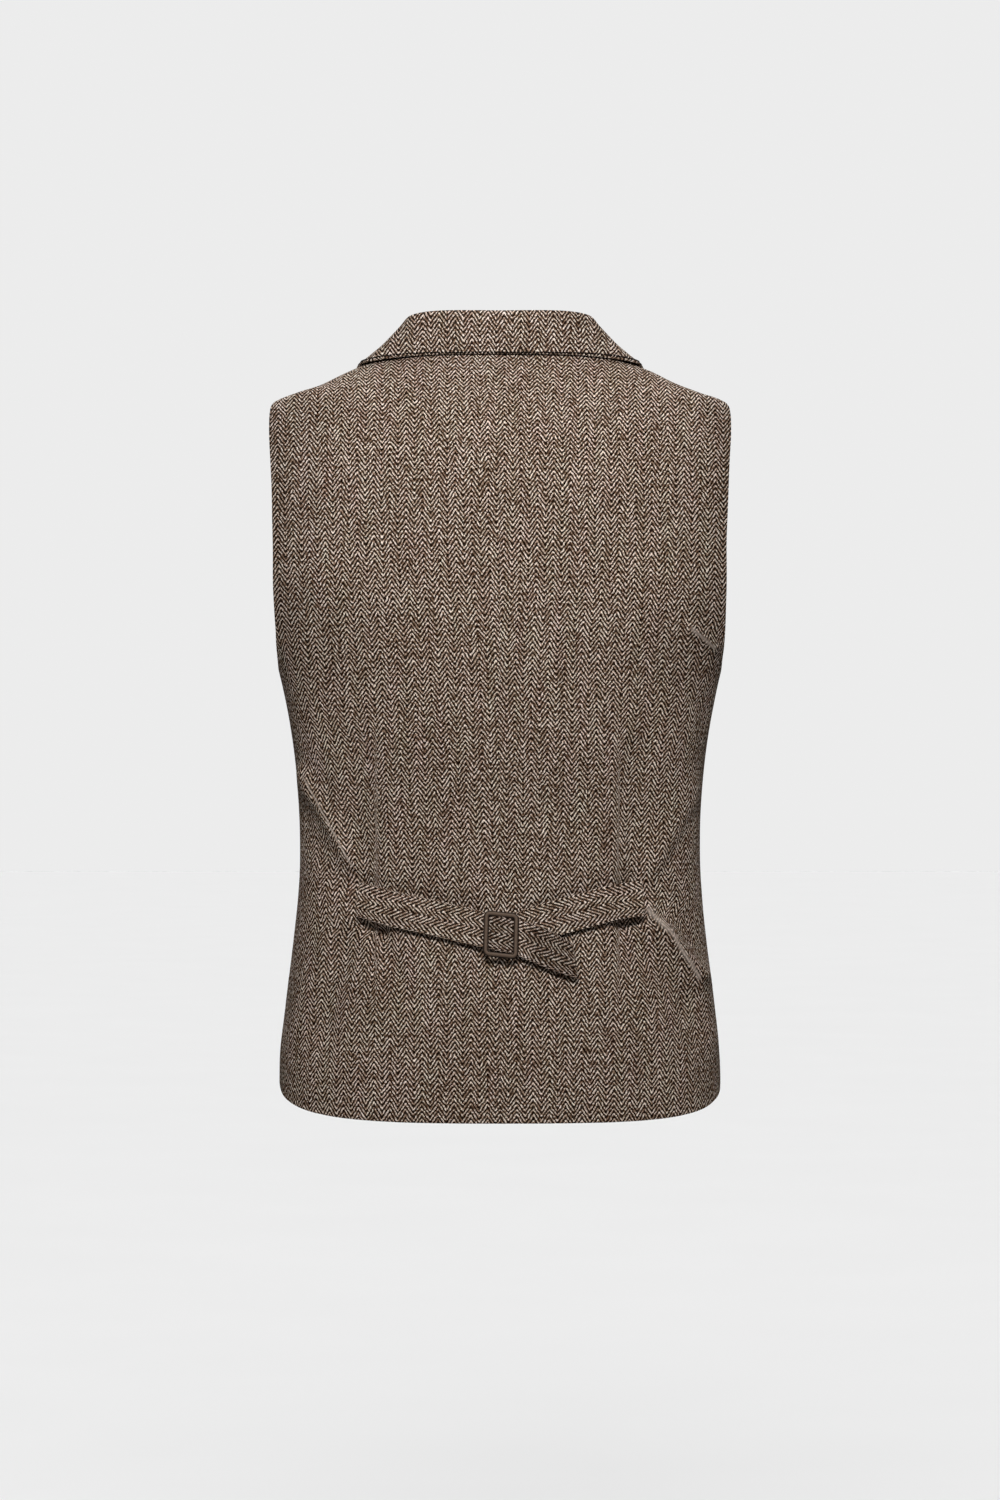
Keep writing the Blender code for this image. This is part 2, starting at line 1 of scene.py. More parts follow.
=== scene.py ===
"""Looks of the tweed waistcoat: woven cloth, seams, stitches, buckle and buttons round the solids.

Metres, but the tables of tenths() are in 0.1 mm. The wearer's left is +X, the back +Y and up +Z.
"""
import math

import bpy
import numpy as np
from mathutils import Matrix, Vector


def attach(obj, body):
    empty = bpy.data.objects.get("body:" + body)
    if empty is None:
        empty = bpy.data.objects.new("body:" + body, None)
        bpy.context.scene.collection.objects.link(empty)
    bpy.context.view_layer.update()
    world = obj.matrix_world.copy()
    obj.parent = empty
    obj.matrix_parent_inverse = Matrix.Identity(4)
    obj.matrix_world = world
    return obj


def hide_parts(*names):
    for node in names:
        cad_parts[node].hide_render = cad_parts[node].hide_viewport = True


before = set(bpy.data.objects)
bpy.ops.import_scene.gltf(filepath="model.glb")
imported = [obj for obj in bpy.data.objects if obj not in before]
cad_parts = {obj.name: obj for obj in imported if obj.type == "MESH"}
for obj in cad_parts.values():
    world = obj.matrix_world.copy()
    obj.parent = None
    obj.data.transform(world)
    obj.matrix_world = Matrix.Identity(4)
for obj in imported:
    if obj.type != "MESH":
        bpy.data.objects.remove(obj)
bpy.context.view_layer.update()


def tenths(*rows):
    """Table of lengths in metres from rows in tenths of a millimetre."""
    return np.array(rows) / 10000


# Rows and columns of each sheet; for the panels also the length that the close ends are cut from
BACK_GRID = ((280, 0.60), (124, 0.19))
FRONT_GRID = ((250, 0.66), (96, 0.22))
COLLAR_GRID = (46, 261)
LAPEL_GRID = (40, 130)
STRAP_GRID = (200, 24)
# Seeds of the soft unevenness
BACK_SEED = 3
FRONT_SEED = 5

# Cloth: wall of the panels, of collar and lapels, of the straps
WALL = 0.0020
COLLAR_WALL = 0.0018
STRAP_WALL = 0.0016
# Rounding of a free edge and of an edge in a seam, and half the gap left in a seam
FREE = 0.0009
SEWN = 0.00008
SEAM_HALF = 0.00001

# Rings of the body, top to bottom: height, half width, depth of the back, depth of the front
BODY = tenths(
    (120, 480, 550, 480), (0, 784, 600, 520), (-200, 1248, 680, 595), (-300, 1464, 720, 637),
    (-400, 1752, 760, 680), (-440, 1825, 775, 700), (-480, 1868, 790, 720), (-560, 1905, 815, 755),
    (-700, 1938, 860, 820), (-1000, 1960, 940, 960), (-1500, 1950, 980, 1140),
    (-2000, 1900, 980, 1240), (-2320, 1840, 960, 1275), (-2580, 1765, 935, 1295),
    (-2800, 1715, 905, 1300), (-3120, 1660, 855, 1295), (-3600, 1610, 770, 1275),
    (-4000, 1596, 725, 1265), (-4400, 1616, 740, 1270), (-4800, 1660, 785, 1280),
    (-5200, 1710, 840, 1290), (-5680, 1758, 900, 1295), (-6000, 1764, 930, 1300),
    (-6600, 1764, 950, 1300),
)
ROUND = 2.3

# Edge of the armhole, shoulder tip to underarm: height, distance out on the back and on the front
ARMHOLE = tenths(
    (-400, 1752, 1752), (-420, 1782, 1768), (-460, 1815, 1782), (-520, 1828, 1772),
    (-640, 1832, 1742), (-880, 1820, 1690), (-1200, 1803, 1652), (-1600, 1786, 1638),
    (-2000, 1780, 1662), (-2320, 1776, 1706), (-2500, 1768, 1742), (-2580, 1765, 1765),
)
TIP = -0.040
UNDERARM = -0.258

# The back's hem hangs lower at the centre; the drop fades out up to HEM_FADE. Power of its curve
# on the left and on the right
HEM = -0.584
HEM_DROP = 0.027
HEM_FADE = -0.320
HEM_POWER = (3.0, 3.6)

# Rows of a front: inner edge distance and height, height of the outer edge
FRONT_ROWS = tenths(
    (660, -6260, -5840), (460, -6120, -5720), (200, -5920, -5520), (-40, -5680, -5280),
    (-170, -5400, -5000), (-200, -5100, -4700), (-200, -4800, -4400), (-200, -4400, -4050),
    (-200, -4000, -3700), (-200, -3600, -3350), (-200, -3200, -3000), (-200, -2920, -2760),
    (-150, -2700, -2580), (-80, -2560, -2520), (10, -2400, -2420), (120, -2170, -2270),
    (240, -1900, -2060), (350, -1630, -1840), (450, -1370, -1600), (545, -1100, -1340),
    (630, -830, -1080), (700, -560, -830), (755, -300, -620), (782, -150, -530), (786, -60, -480),
    (786, -18, -440), (785, -1, -402), (784, 0, -400),
)
# How far the right front lies in under the left one, and where that fades out, outwards and up
UNDER = 0.0029
UNDER_OUT = (0.024, 0.060)
UNDER_UP = (-0.245, -0.160)

# Largest folds of the back, which the straps follow too: from (x, z) to (x, z), half width, height
FOLDS = tenths(
    (1560, -3480, 1240, -4040, 120, 30), (1480, -3720, 1200, -4250, 120, -30),
    (1120, -3180, 1100, -4240, 140, -40), (-1080, -3220, -1060, -4260, 140, -40),
    (-1240, -4100, -1560, -3520, 120, 28), (-1290, -4620, -1575, -4990, 110, 45),
    (-1630, -5120, -1680, -5490, 120, 22), (-1120, -4800, -1500, -5350, 150, -35),
    (1220, -4700, 1420, -5350, 140, -45), (900, -4700, 750, -5100, 120, -30),
)
# Finer folds, in the cloth of the back alone
FINE_FOLDS = tenths(
    (1585, -3365, 1175, -4110, 45, 25), (1500, -3330, 1090, -4060, 90, -16),
    (1670, -3560, 1290, -4260, 80, -11), (-1172, -4458, -1570, -4990, 48, 36),
    (-1090, -4640, -1480, -5160, 85, -30), (-1280, -4400, -1590, -4800, 85, -14),
    (1160, -4530, 1390, -4740, 60, 18), (-1490, -2230, -1700, -2390, 45, 26),
    (-1455, -2680, -1650, -2920, 55, -18), (1500, -2050, 1700, -2260, 60, -14),
    (-1180, -4360, -1540, -3720, 55, -18), (940, -4620, 800, -5000, 50, -16),
    (1085, -4570, 950, -4610, 65, -65), (-1100, -4525, -975, -4565, 65, -65),
    (1100, -4250, 220, -4460, 85, -30), (-280, -4450, -1080, -4240, 85, -27),
    (800, -4560, -800, -4560, 300, -16), (1420, -1950, 1180, -2000, 340, 30),
    (1420, -2720, 1180, -2780, 340, -34), (-1180, -1980, -1420, -1930, 340, 30),
    (-1180, -2760, -1420, -2700, 340, -38),
)
# Crests of folds that get a painted highlight, in pairs of points x and z, with half width
CRESTS = tenths(
    (1563, -3406, 1170, -4111, 7), (-1172, -4458, -1340, -4618, 22),
    (-1340, -4618, -1575, -5000, 15), (-1510, -2250, -1700, -2395, 14),
)
# Depths from front to back over which folds and unevenness start, away from the side seams
FOLDS_START = (0.004, 0.03)
RIPPLES_START = (0.0, 0.012)
RIPPLES_START_FRONT = (0.0, 0.02)
RIPPLES_FRONT = 0.6
# Soft unevenness of worn cloth: wave length, height
RIPPLES = ((0.095, 0.00050), (0.052, 0.00030), (0.027, 0.00014))
RIPPLE_WAVES = 7

# Cloth taken in at the centre back seam: height, taken on the left, on the right
TAKE = tenths(
    (-1410, 0, 0), (-1720, 10, 8), (-2030, 27, 14), (-2340, 50, 34), (-2650, 66, 47),
    (-2970, 74, 49), (-3280, 82, 49), (-3590, 89, 49), (-3900, 103, 48), (-4140, 107, 45),
    (-4600, 118, 44), (-5600, 122, 36), (-6200, 120, 34),
)
# Waist darts: distance out on the left and on the right, then height and cloth taken in
DART_X = (0.0975, 0.0930)
DART = tenths((-2850, 0), (-3450, 40), (-3950, 78), (-4400, 85), (-4800, 50), (-5300, 0))
DART_WIDTH = 0.0016
DART_DEPTH = 0.0007
DART_STARTS = (0, 0.003)

# Collar: turn from the centre back in degrees, stand of the roll top out and up, then the roll's
# outer side out and up; the front rows give the height on the neck edge instead of the turn
COLLAR_BACK = np.array((
    (0.0, -0.0010, 0.0240, 0.0045, 0.0185),
    (45.0, -0.0020, 0.0247, 0.0038, 0.0190),
    (70.0, -0.0034, 0.0232, 0.0022, 0.0180),
    (90.0, -0.0044, 0.0212, 0.0006, 0.0168),
))
COLLAR_FRONT = tenths(
    (-18, -44, 190, 6, 155), (-150, -40, 130, 12, 110), (-400, -30, 70, 20, 66),
    (-755, -22, 14, 22, 36),
)
# Where the fall lies on the fronts: middle x and z, edge x and z, shoulder first
FALL_FRONT = tenths(
    (960, -30, 1136, -141), (960, -165, 1140, -200), (940, -430, 1125, -330),
    (900, -800, 1110, -580),
)
FALL_DROP = 0.0098
FALL_DROP_SIDE = 0.0043
NECK_TURNS = (0.0, 12.0, 24.0, 36.0, 48.0, 60.0, 71.0, 81.0, 90.0)
NECK_HEIGHTS = tenths(-18, -60, -150, -270, -400, -520, -640, -755)
SECTION = (0, 0.5, 0.85, 1.0, 1.3, 1.65, 2.0, 2.5, 3.0, 3.5, 4.0)
# How far the stand reaches below the neck edge; how clear the fall lies of back and fronts; how its
# middle arches and dips; heights over which the stand leans in towards the fronts
STAND_LOW = 0.0010
FALL_CLEAR = 0.0010
FALL_CLEAR_FRONT = 0.0019
FALL_ARCH = 0.0010
FALL_DIP = 0.0031
FALL_ARCH_FRONT = 0.0030
FALL_ARCH_LOSS = 0.0006
LEAN_IN = (0.0, -0.060)
# Cloth coordinates of the collar: where columns are upright, by how far a row runs across; the
# least share of its length that a step counts across and down, at the front and behind, and where
# the one goes over into the other, front to back
COLUMNS_UPRIGHT = (0.35, 0.75)
LEAST_ACROSS = (0.95, 0.55)
LEAST_DOWN = (1.0, 0.68)
LEAST_AT = (-0.020, 0.035)

# Lapel, break to gorge: height of the inner edge, width, rise of the outer edge
BREAK_OVER = -0.256
BREAK_UNDER = -0.235
LAPEL = tenths(
    (-2620, 60, 60), (-2350, 180, 120), (-2000, 320, 120), (-1600, 450, 80), (-1200, 560, 0),
    (-900, 620, -60), (-785, 590, -120),
)
LAPEL_SHARES = (0.0, 0.12, 0.3, 0.5, 0.75, 1.0)
# How clear the lapel lies, its arch, the nose of its roll and how far it is tucked in
LAPEL_CLEAR = 0.0013
LAPEL_ARCH = 0.0025
LAPEL_NOSE = 0.0006
LAPEL_TUCK = 0.0010

# Straps: x and z of the middle line, height of the middle of the wall over the back
STRAP_LEFT = tenths(
    (1125, -4373, 16), (980, -4413, 16), (840, -4449, 18), (650, -4489, 21), (454, -4532, 24),
    (280, -4574, 29), (170, -4600, 37), (115, -4613, 43), (55, -4630, 61), (0, -4644, 68),
    (-60, -4653, 62), (-118, -4664, 45), (-180, -4685, 44), (-270, -4722, 45), (-370, -4765, 48),
    (-480, -4815, 53), (-585, -4862, 59),
)
STRAP_RIGHT = tenths(
    (-1125, -4369, 16), (-1030, -4378, 16), (-856, -4406, 19), (-690, -4452, 21), (-470, -4508, 24),
    (-300, -4560, 27), (-180, -4600, 27), (-110, -4625, 28),
)
STRAP_WIDTH = 0.028
# Distances out over which a strap's width turns to the bar's way, to the seam's and to the tail's
AT_BAR = (0.007, 0.032)
AT_SEAM = (0.085, 0.105)
AT_TAIL = (0.030, 0.0585)
TAIL_EDGE = (-0.12, -0.99)
TAIL_TURN = -0.08
# Distances out over which the tail gets darker, and over which the strap inside the buckle's frame
# gets painted shade, and the share of that painted shade
DARKER_TAIL = (0.016, 0.030)
SHADED = (0.0085, 0.0125)
SHADED_SHARE = 0.8
# Crown across the straps and the distances out over which it grows
BELLY = 0.0008
BELLY_OUT = (0.040, 0.065)
# Fold of the short strap round the bar: radius, length of its return, start, sag and closing in
LOOP_RADIUS = 0.0020
LOOP_RETURN = 0.016
LOOP_START = (-0.0050, 0.0004)
LOOP_SAG = 0.0010
LOOP_CLOSE = 0.0001

# Slide buckle: outer size, wire, corner, centre, lean in its plane and height over the back
BUCKLE_WIDTH = 0.0258
BUCKLE_HEIGHT = 0.0345
BUCKLE_WIRE = 0.0013
BUCKLE_CORNER = 0.0042
BUCKLE_X = -0.0008
BUCKLE_Z = -0.4651
BUCKLE_LEAN = math.radians(1.5)
BUCKLE_SLOPE = 0.11
BUCKLE_OUT = 0.0071
BUCKLE_FLAT = 1.6
# Middle bar: wire, height, and how far it lies under the frame from end to end
BAR_WIRE = 0.0010
BAR_OUT = 0.0030
BAR = np.array(((-1.00, 0.0), (-0.96, 0.0010), (-0.90, 0.0041), (-0.60, 0.0041),
                (0.60, 0.0041), (0.90, 0.0041), (0.96, 0.0010), (1.00, 0.0)))
# Straps and buckle stand off at their lower side: slope, least height, distances out where it ends
TILT = 0.03
TILT_RAISE = 0.0004
TILT_REACH = (0.012, 0.038)

# Buttons: heights, radius, thickness, holes, thread
BUTTONS = (-0.266, -0.326, -0.386, -0.446, -0.506)
BUTTON_RADIUS = 0.0075
BUTTON_THICK = 0.0030
BUTTON_OFF = 0.00034
HOLE_RADIUS = 0.0009
HOLE_OFF = 0.0016
HOLE_DEEP = 0.55
FACE_LEVEL = 0.72
BUTTON_SECTION = np.array((
    (0.00, 0.72), (0.30, 0.72), (0.62, 0.71), (0.72, 0.76), (0.80, 0.95), (0.86, 1.00),
    (0.92, 0.99), (0.97, 0.88), (1.00, 0.70), (1.00, 0.45), (0.97, 0.22), (0.90, 0.05),
    (0.84, 0.00), (0.00, 0.00),
))
THREAD = 0.00030
# Buttonhole: distance out of its inner and outer end, half height, thickness of its worked edge
HOLE_ENDS = (-0.0040, 0.0165)
HOLE_HALF = 0.0011
HOLE_EDGE = 0.00075

# Weave: distance of the warp ends and of the weft picks, ends in a stripe, shift of the pattern
END = 0.0064 / 9
PICK = 0.00105
STRIPE_ENDS = 9
SHIFT = 0.0036
# Waver of the yarns: noise scale, its roughness, how far ends go aside and picks go up
WAVER = ((45.0, 0.5, 0.0018, 0.0042), (420.0, 0.6, 0.0011, 0.0016))
# Thick and thin picks: noise scale across and up, how far they go; a pick's height; fibre noise
THICK_PICKS = (6.0, 260.0, 0.0016)
PICK_LOW = 0.8
FIBRE = 2600.0
# How fast a float darkens to its ends, and the powers of its shade in red and in blue
LIT_POWER = 1.8
TINT = (0.81, 1.16)
LIGHT_YARN = (0.78, 0.62, 0.505, 1.0)
DARK_YARN = (0.020, 0.011, 0.006, 1.0)
# Painted highlight on fold crests: its colour, its largest share, the wave of its line, and how far
# back it starts
CREST_HIGHLIGHT = (0.46, 0.385, 0.33, 1.0)
CREST_MOST = 0.65
CREST_WAVE = 0.004
BACK_OF = 0.02
# How much darker the cloth is painted where its attribute is 1 (painted shade inside the buckle's
# frame, the darker tail), and the turns of thread
DARKER = 0.36
TWIST = 9000.0
# The weave is closer near the neck by a share, from one height to the other
CLOSER = 0.26
CLOSER_UP = (-0.085, -0.012)
# Rows count by their width as seen from behind: how far, over which heights
FLATTER = 0.4
FLATTER_UP = (-0.340, -0.160)
# Over the shoulders columns count by their length: heights, distances out
SHOULDER_UP = (-0.110, -0.060)
SHOULDER_OUT = (0.045, 0.090)
SHOULDER_LEAST = 0.52

# Stitches round the collar: distance from its edge, length, gap, thickness
STITCH_IN = (0.0013, 0.0023)
STITCH_LONG = 0.0022
STITCH_GAP = 0.0008
STITCH_THICK = 0.00080
# How far a stitch arches and lies in the cloth; distances out over which it nears the edge
STITCH_ARCH = 0.00030
STITCH_SUNK = 0.00012
STITCH_NEARS = (0.03, 0.09)


def smooth(xs, ys, at):
    """Cubic through the points (xs, ys), with slopes from their neighbours."""
    xs = np.asarray(xs, float)
    ys = np.asarray(ys, float)
    if xs[0] > xs[-1]:
        xs, ys = xs[::-1], ys[::-1]
    at = np.clip(np.asarray(at, float), xs[0], xs[-1])
    slope = np.gradient(ys, xs, axis=0)
    k = np.clip(np.searchsorted(xs, at) - 1, 0, len(xs) - 2)
    h = xs[k + 1] - xs[k]
    t = (at - xs[k]) / h
    if ys.ndim > 1:
        t = t[..., None]
        h = h[..., None]
    start = (2 * t ** 3 - 3 * t ** 2 + 1) * ys[k] + (t ** 3 - 2 * t ** 2 + t) * h * slope[k]
    end = (3 * t ** 2 - 2 * t ** 3) * ys[k + 1] + (t ** 3 - t ** 2) * h * slope[k + 1]
    return start + end


def column(table, k, at):
    """Column k of a table, where its first column is at."""
    return smooth(table[:, 0], table[:, k], at)


def unit(v):
    """The vectors made one long."""
    return v / np.maximum(np.linalg.norm(v, axis=-1, keepdims=True), 1e-12)


def blend(low, high, at):
    """0 below low, 1 above high, 3 t squared less 2 t cubed between."""
    t = np.clip((at - low) / (high - low), 0, 1)
    return t * t * (3 - 2 * t)


def ring(turn, z):
    """Body: x = half width times sin to the power 2/n, y = depth times cos to 2/n, signs kept."""
    z = np.asarray(z, float)
    shape = column(BODY, slice(1, None), z)
    s, c = np.sin(turn), np.cos(turn)
    depth = np.where(c > 0, shape[..., 1], shape[..., 2])
    x = shape[..., 0] * np.sign(s) * np.abs(s) ** (2 / ROUND)
    y = depth * np.sign(c) * np.abs(c) ** (2 / ROUND)
    return np.stack([x, y, z + 0 * x], -1)


def outward(turn, z):
    """Unit normal of the body: the cross product of its slopes up and round."""
    e = 1e-4
    along = ring(turn + e, z) - ring(turn - e, z)
    up = ring(turn, z + e) - ring(turn, z - e)
    return unit(np.cross(up, along))


def turn_of(x, z, front=False):
    """Turn from the centre back of the point x out at height z."""
    half = column(BODY, 1, z)
    a = np.arcsin(np.sign(x) * np.minimum(np.abs(x) / half, 1) ** (ROUND / 2))
    return math.pi - a if front else a


def bells(p, rows):
    """Sum over the rows of height times exp(-(distance to the row's line over width) squared)."""
    total = np.zeros(p.shape[:-1])
    for x0, z0, x1, z1, width, height in rows:
        run = np.array([x1 - x0, z1 - z0])
        off = p[..., [0, 2]] - [x0, z0]
        near = np.clip(off @ run / (run @ run), 0, 1)
        far = np.linalg.norm(off - near[..., None] * run, axis=-1)
        total += height * np.exp(-(far / width) ** 2)
    return total


def ripples(p, seed):
    """Sum of sine waves over x, y and z in seeded directions, a few for each wave length."""
    draw = np.random.default_rng(seed)
    total = np.zeros(p.shape[:-1])
    for length, height in RIPPLES:
        for _ in range(RIPPLE_WAVES):
            way = unit(draw.normal(size=3) * [1.0, 1.0, 0.6]) * 2 * math.pi / length
            total += height / math.sqrt(RIPPLE_WAVES) * np.sin(p @ way + draw.uniform(0, 6.28))
    return total


def folds(p, rows=FOLDS):
    """Height of the folds at points on the back, faded towards the side seams."""
    return bells(p, rows) * blend(*FOLDS_START, p[..., 1])


def on_back(x, z, out=0.0):
    """Point of the folded back at x and z, moved out along its normal."""
    turn = turn_of(x, z)
    p = ring(turn, z)
    return p + outward(turn, z) * (folds(p) + out)[..., None]


def on_front(x, z, out=0.0):
    """Point of the left front at x and z, moved out along its normal."""
    turn = turn_of(x, z, True)
    return ring(turn, z) + outward(turn, z) * np.reshape(out, (-1, 1))


def armhole_turn(z, side):
    """Turn of the outer edge: side seam, armhole, then shoulder seam. Side 1 is back, 2 front."""
    turn = turn_of(column(ARMHOLE, side, z), z)
    return np.where((z > UNDERARM) & (z < TIP), turn, math.pi / 2)


def grow(grid, axis):
    """Distance run along one axis of a grid of points, 0 at its start."""
    step = np.linalg.norm(np.diff(grid, axis=axis), axis=-1)
    pad = [(0, 0), (0, 0)]
    pad[axis] = (1, 0)
    return np.pad(np.cumsum(step, axis=axis), pad)


def run_of(line):
    """Distance run along a line of points."""
    return grow(line[:, None], 0)[:, 0]


def refine(grid, along, across):
    """The grid resampled to along by across points, with cubics over the mean distance run."""
    for axis, count in ((0, along), (1, across)):
        far = grow(grid, axis).mean(axis=1 - axis)
        lines = np.moveaxis(grid, axis, 0)
        shape = lines.shape
        lines = smooth(far, lines.reshape(shape[0], -1), np.linspace(0, far[-1], count))
        grid = np.moveaxis(lines.reshape(count, *shape[1:]), 0, axis)
    return grid


def normals(grid):
    """Unit normals of a grid: slope along its rows crossed with slope across them."""
    return unit(np.cross(np.gradient(grid, axis=1), np.gradient(grid, axis=0)))


def show(name, data):
    """Object of the data, put into the scene."""
    made = bpy.data.objects.new(name, data)
    bpy.context.scene.collection.objects.link(made)
    return made


def put(name, points, faces, uv, kind):
    """Smooth mesh object from points, quads and one UV point a vertex, riding on the body."""
    mesh = bpy.data.meshes.new(name)
    mesh.vertices.add(len(points))
    mesh.vertices.foreach_set("co", np.ascontiguousarray(points, np.float32).ravel())
    mesh.loops.add(faces.size)
    mesh.loops.foreach_set("vertex_index", faces.astype(np.int32).ravel())
    mesh.polygons.add(len(faces))
    starts = np.arange(0, faces.size, faces.shape[1], dtype=np.int32)
    mesh.polygons.foreach_set("loop_start", starts)
    mesh.update(calc_edges=True)
    layer = mesh.uv_layers.new(name="cloth")
    layer.data.foreach_set("uv", uv[faces.ravel()].astype(np.float32).ravel())
    mesh.polygons.foreach_set("use_smooth", np.ones(len(faces), bool))
    mesh.materials.append(kind)
    mesh.validate()
    made = show(name, mesh)
    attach(made, "root")
    return made


def quads(index):
    """Quads between the neighbours of a grid of vertex numbers."""
    corners = [index[:-1, :-1], index[:-1, 1:], index[1:, 1:], index[1:, :-1]]
    return np.stack(corners, -1).reshape(-1, 4)


def shell(name, grid, uv, wall, edges, kind, middle=False):
    """Closed cloth wall: the grid as its outer face, its copy one wall in, rounded rims between.

    edges gives the rounding of the first row, last row, first column and last column. A rim runs a
    quarter circle off the outer face, straight down, and a quarter circle on to the inner face.
    """
    normal = normals(grid)
    if middle:
        grid = grid + normal * wall / 2
    rows, across = grid.shape[:2]
    order = np.arange(rows * across).reshape(rows, across)
    loop = np.concatenate([order[0, :-1], order[:-1, -1], order[-1, :0:-1], order[:0:-1, 0]])
    away = np.zeros(grid.shape)
    slide = np.zeros(uv.shape)
    rounds = np.zeros((rows, across))
    count = np.zeros((rows, across))
    for (edge, inner), r in zip((((0,), (1,)), ((-1,), (-2,)), ((slice(None), 0), (slice(None), 1)),
                                 ((slice(None), -1), (slice(None), -2))), edges):
        away[edge] += unit(grid[edge] - grid[inner])
        slide[edge] += unit(uv[edge] - uv[inner])
        rounds[edge] += r
        count[edge] += 1
    rim_round = (rounds / np.maximum(count, 1)).ravel()[loop][:, None]
    face_n = normal.reshape(-1, 3)[loop]
    out = away.reshape(-1, 3)[loop]
    out = unit(out - face_n * np.sum(out * face_n, -1, keepdims=True))
    drift = unit(slide.reshape(-1, 2)[loop])
    start = grid.reshape(-1, 3)[loop]
    start_uv = uv.reshape(-1, 2)[loop]
    rings, ring_uv = [], []
    for deep, turns in ((0, (0, 30, 60, 90)), (1, (90, 60, 30, 0))):
        for a in np.radians(turns):
            lift = math.cos(a) - 1 if deep == 0 else 1 - math.cos(a)
            down = lift * rim_round - deep * wall
            rings.append(start + out * (math.sin(a) - 1) * rim_round + face_n * down)
            ring_uv.append(start_uv + drift * ((math.sin(a) - 1) * rim_round - down))
    points = [grid.reshape(-1, 3), (grid - normal * wall).reshape(-1, 3)]
    points[0][loop] = rings[0]
    points[1][loop] = rings[-1]
    size = rows * across
    flat_uv = uv.reshape(-1, 2)
    numbers = [loop]
    for k in range(1, len(rings) - 1):
        numbers.append(2 * size + (k - 1) * len(loop) + np.arange(len(loop)))
        points.append(rings[k])
    numbers.append(size + loop)
    numbers = np.stack(numbers)
    numbers = np.concatenate([numbers, numbers[:, :1]], 1)
    faces = np.concatenate([quads(order), quads(order + size)[:, ::-1], quads(numbers)[:, ::-1]])
    uvs = np.concatenate([flat_uv, flat_uv] + ring_uv[1:-1])
    uvs[loop] = ring_uv[0]
    return put(name, np.concatenate(points), faces, uvs, kind)


def tube(path, radius, around, closed=False, wide=1.0, up=None):
    """Points round a path: radius times (cos, sin) on two axes square to it, the first widened."""
    path = np.asarray(path, float)
    if closed:
        run = unit(np.roll(path, -1, 0) - np.roll(path, 1, 0))
    else:
        run = unit(np.gradient(path, axis=0))
    up = np.broadcast_to([0.0, 0.0, 1.0] if up is None else up, path.shape)
    side = unit(np.cross(run, up))
    lift = np.cross(side, run)
    a = np.linspace(0, 2 * math.pi, around, endpoint=False)[None, :, None]
    r = np.reshape(radius, (-1, 1, 1)) if np.ndim(radius) else radius
    return path[:, None] + r * (wide * np.cos(a) * side[:, None] + np.sin(a) * lift[:, None])


def tube_faces(along, around, closed, start=0):
    """Quads of a tube's grid, wrapped round and, where closed, end to end."""
    index = start + np.arange(along * around).reshape(along, around)
    index = np.concatenate([index, index[:, :1]], 1)
    if closed:
        index = np.concatenate([index, index[:1]], 0)
    return quads(index)[:, ::-1]


def tubes(name, grids, kind, closed=False):
    """One object of many tubes; UV is the distance round and along."""
    points, faces, uvs, start = [], [], [], 0
    for grid in grids:
        along, around = grid.shape[:2]
        points.append(grid.reshape(-1, 3))
        faces.append(tube_faces(along, around, closed, start))
        uvs.append(np.stack([grow(grid, 1), grow(grid, 0)], -1).reshape(-1, 2))
        start += along * around
    return put(name, np.concatenate(points), np.concatenate(faces), np.concatenate(uvs), kind)


def steps(count, length):
    """Even shares of a length, with closer ones in the last few millimetres at both ends."""
    close = np.array([0.0, 0.0012, 0.0026]) / length
    inner = np.linspace(0.0045 / length, 1 - 0.0045 / length, count - 6)
    return np.concatenate([close, inner, 1 - close[::-1]])


def back_sheet(side):
    """Half of the back on the left side, and its cloth coordinates.

    Turn runs from 0 to the outer edge by shares, height is the edge's less the hem's drop times one
    less the share to a power. UV is distance round plus the cloth taken in at seam and dart, and
    height climbed.
    """
    right = int(side < 0)
    edge = HEM + (0 - HEM) * steps(*BACK_GRID[0])
    share = steps(*BACK_GRID[1])
    turn = armhole_turn(edge, 1)[:, None] * share
    drop = HEM_DROP * np.clip((HEM_FADE - edge) / (HEM_FADE - HEM), 0, 1)
    z = edge[:, None] - drop[:, None] * (1 - share ** HEM_POWER[right])
    p = ring(turn, z)
    real = p * [side, 1, 1]
    dart = DART_X[right]
    taken = np.interp(-z, -DART[:, 0], DART[:, 1])
    groove = np.exp(-((p[..., 0] - dart) / DART_WIDTH) ** 2)
    groove = groove * DART_DEPTH * blend(*DART_STARTS, taken)
    soft = ripples(real, BACK_SEED) * blend(*RIPPLES_START, p[..., 1])
    out = folds(real, np.concatenate([FOLDS, FINE_FOLDS])) + soft - groove
    p = p + outward(turn, z) * out[..., None]
    u = run_across(p, 1 - FLATTER * blend(*FLATTER_UP, p[:, 1:, 2]))
    u = u + column(TAKE, 1 + right, z)
    u = u + taken * blend(dart - DART_WIDTH / 2, dart + DART_WIDTH / 2, p[..., 0])
    p = p + [SEAM_HALF, SEAM_HALF, 0]
    return p, np.stack([u * side + SHIFT, cloth_up(p, z, SHOULDER_LEAST)], -1)


def run_across(p, least):
    """Distance along each row: a step counts by its share in x, or by least if that is more."""
    go = np.diff(p, axis=1)
    step = np.maximum(np.abs(go[..., 0]), least * np.linalg.norm(go, axis=-1))
    return np.pad(np.cumsum(step, 1), [(0, 0), (1, 0)])


def cloth_up(p, z, least):
    """Height in the cloth: the rise of climb, over the shoulders at least a share of the length."""
    middle = (p[1:] + p[:-1]) / 2
    out, up = np.abs(middle[..., 0]), middle[..., 2]
    near = least * blend(*SHOULDER_UP, up) * blend(*SHOULDER_OUT, out)
    rise = np.maximum(np.diff(climb(z), axis=0), np.diff(grow(p, 0), axis=0) * near)
    return climb(z)[:1] + np.pad(np.cumsum(rise, 0), [(1, 0), (0, 0)])


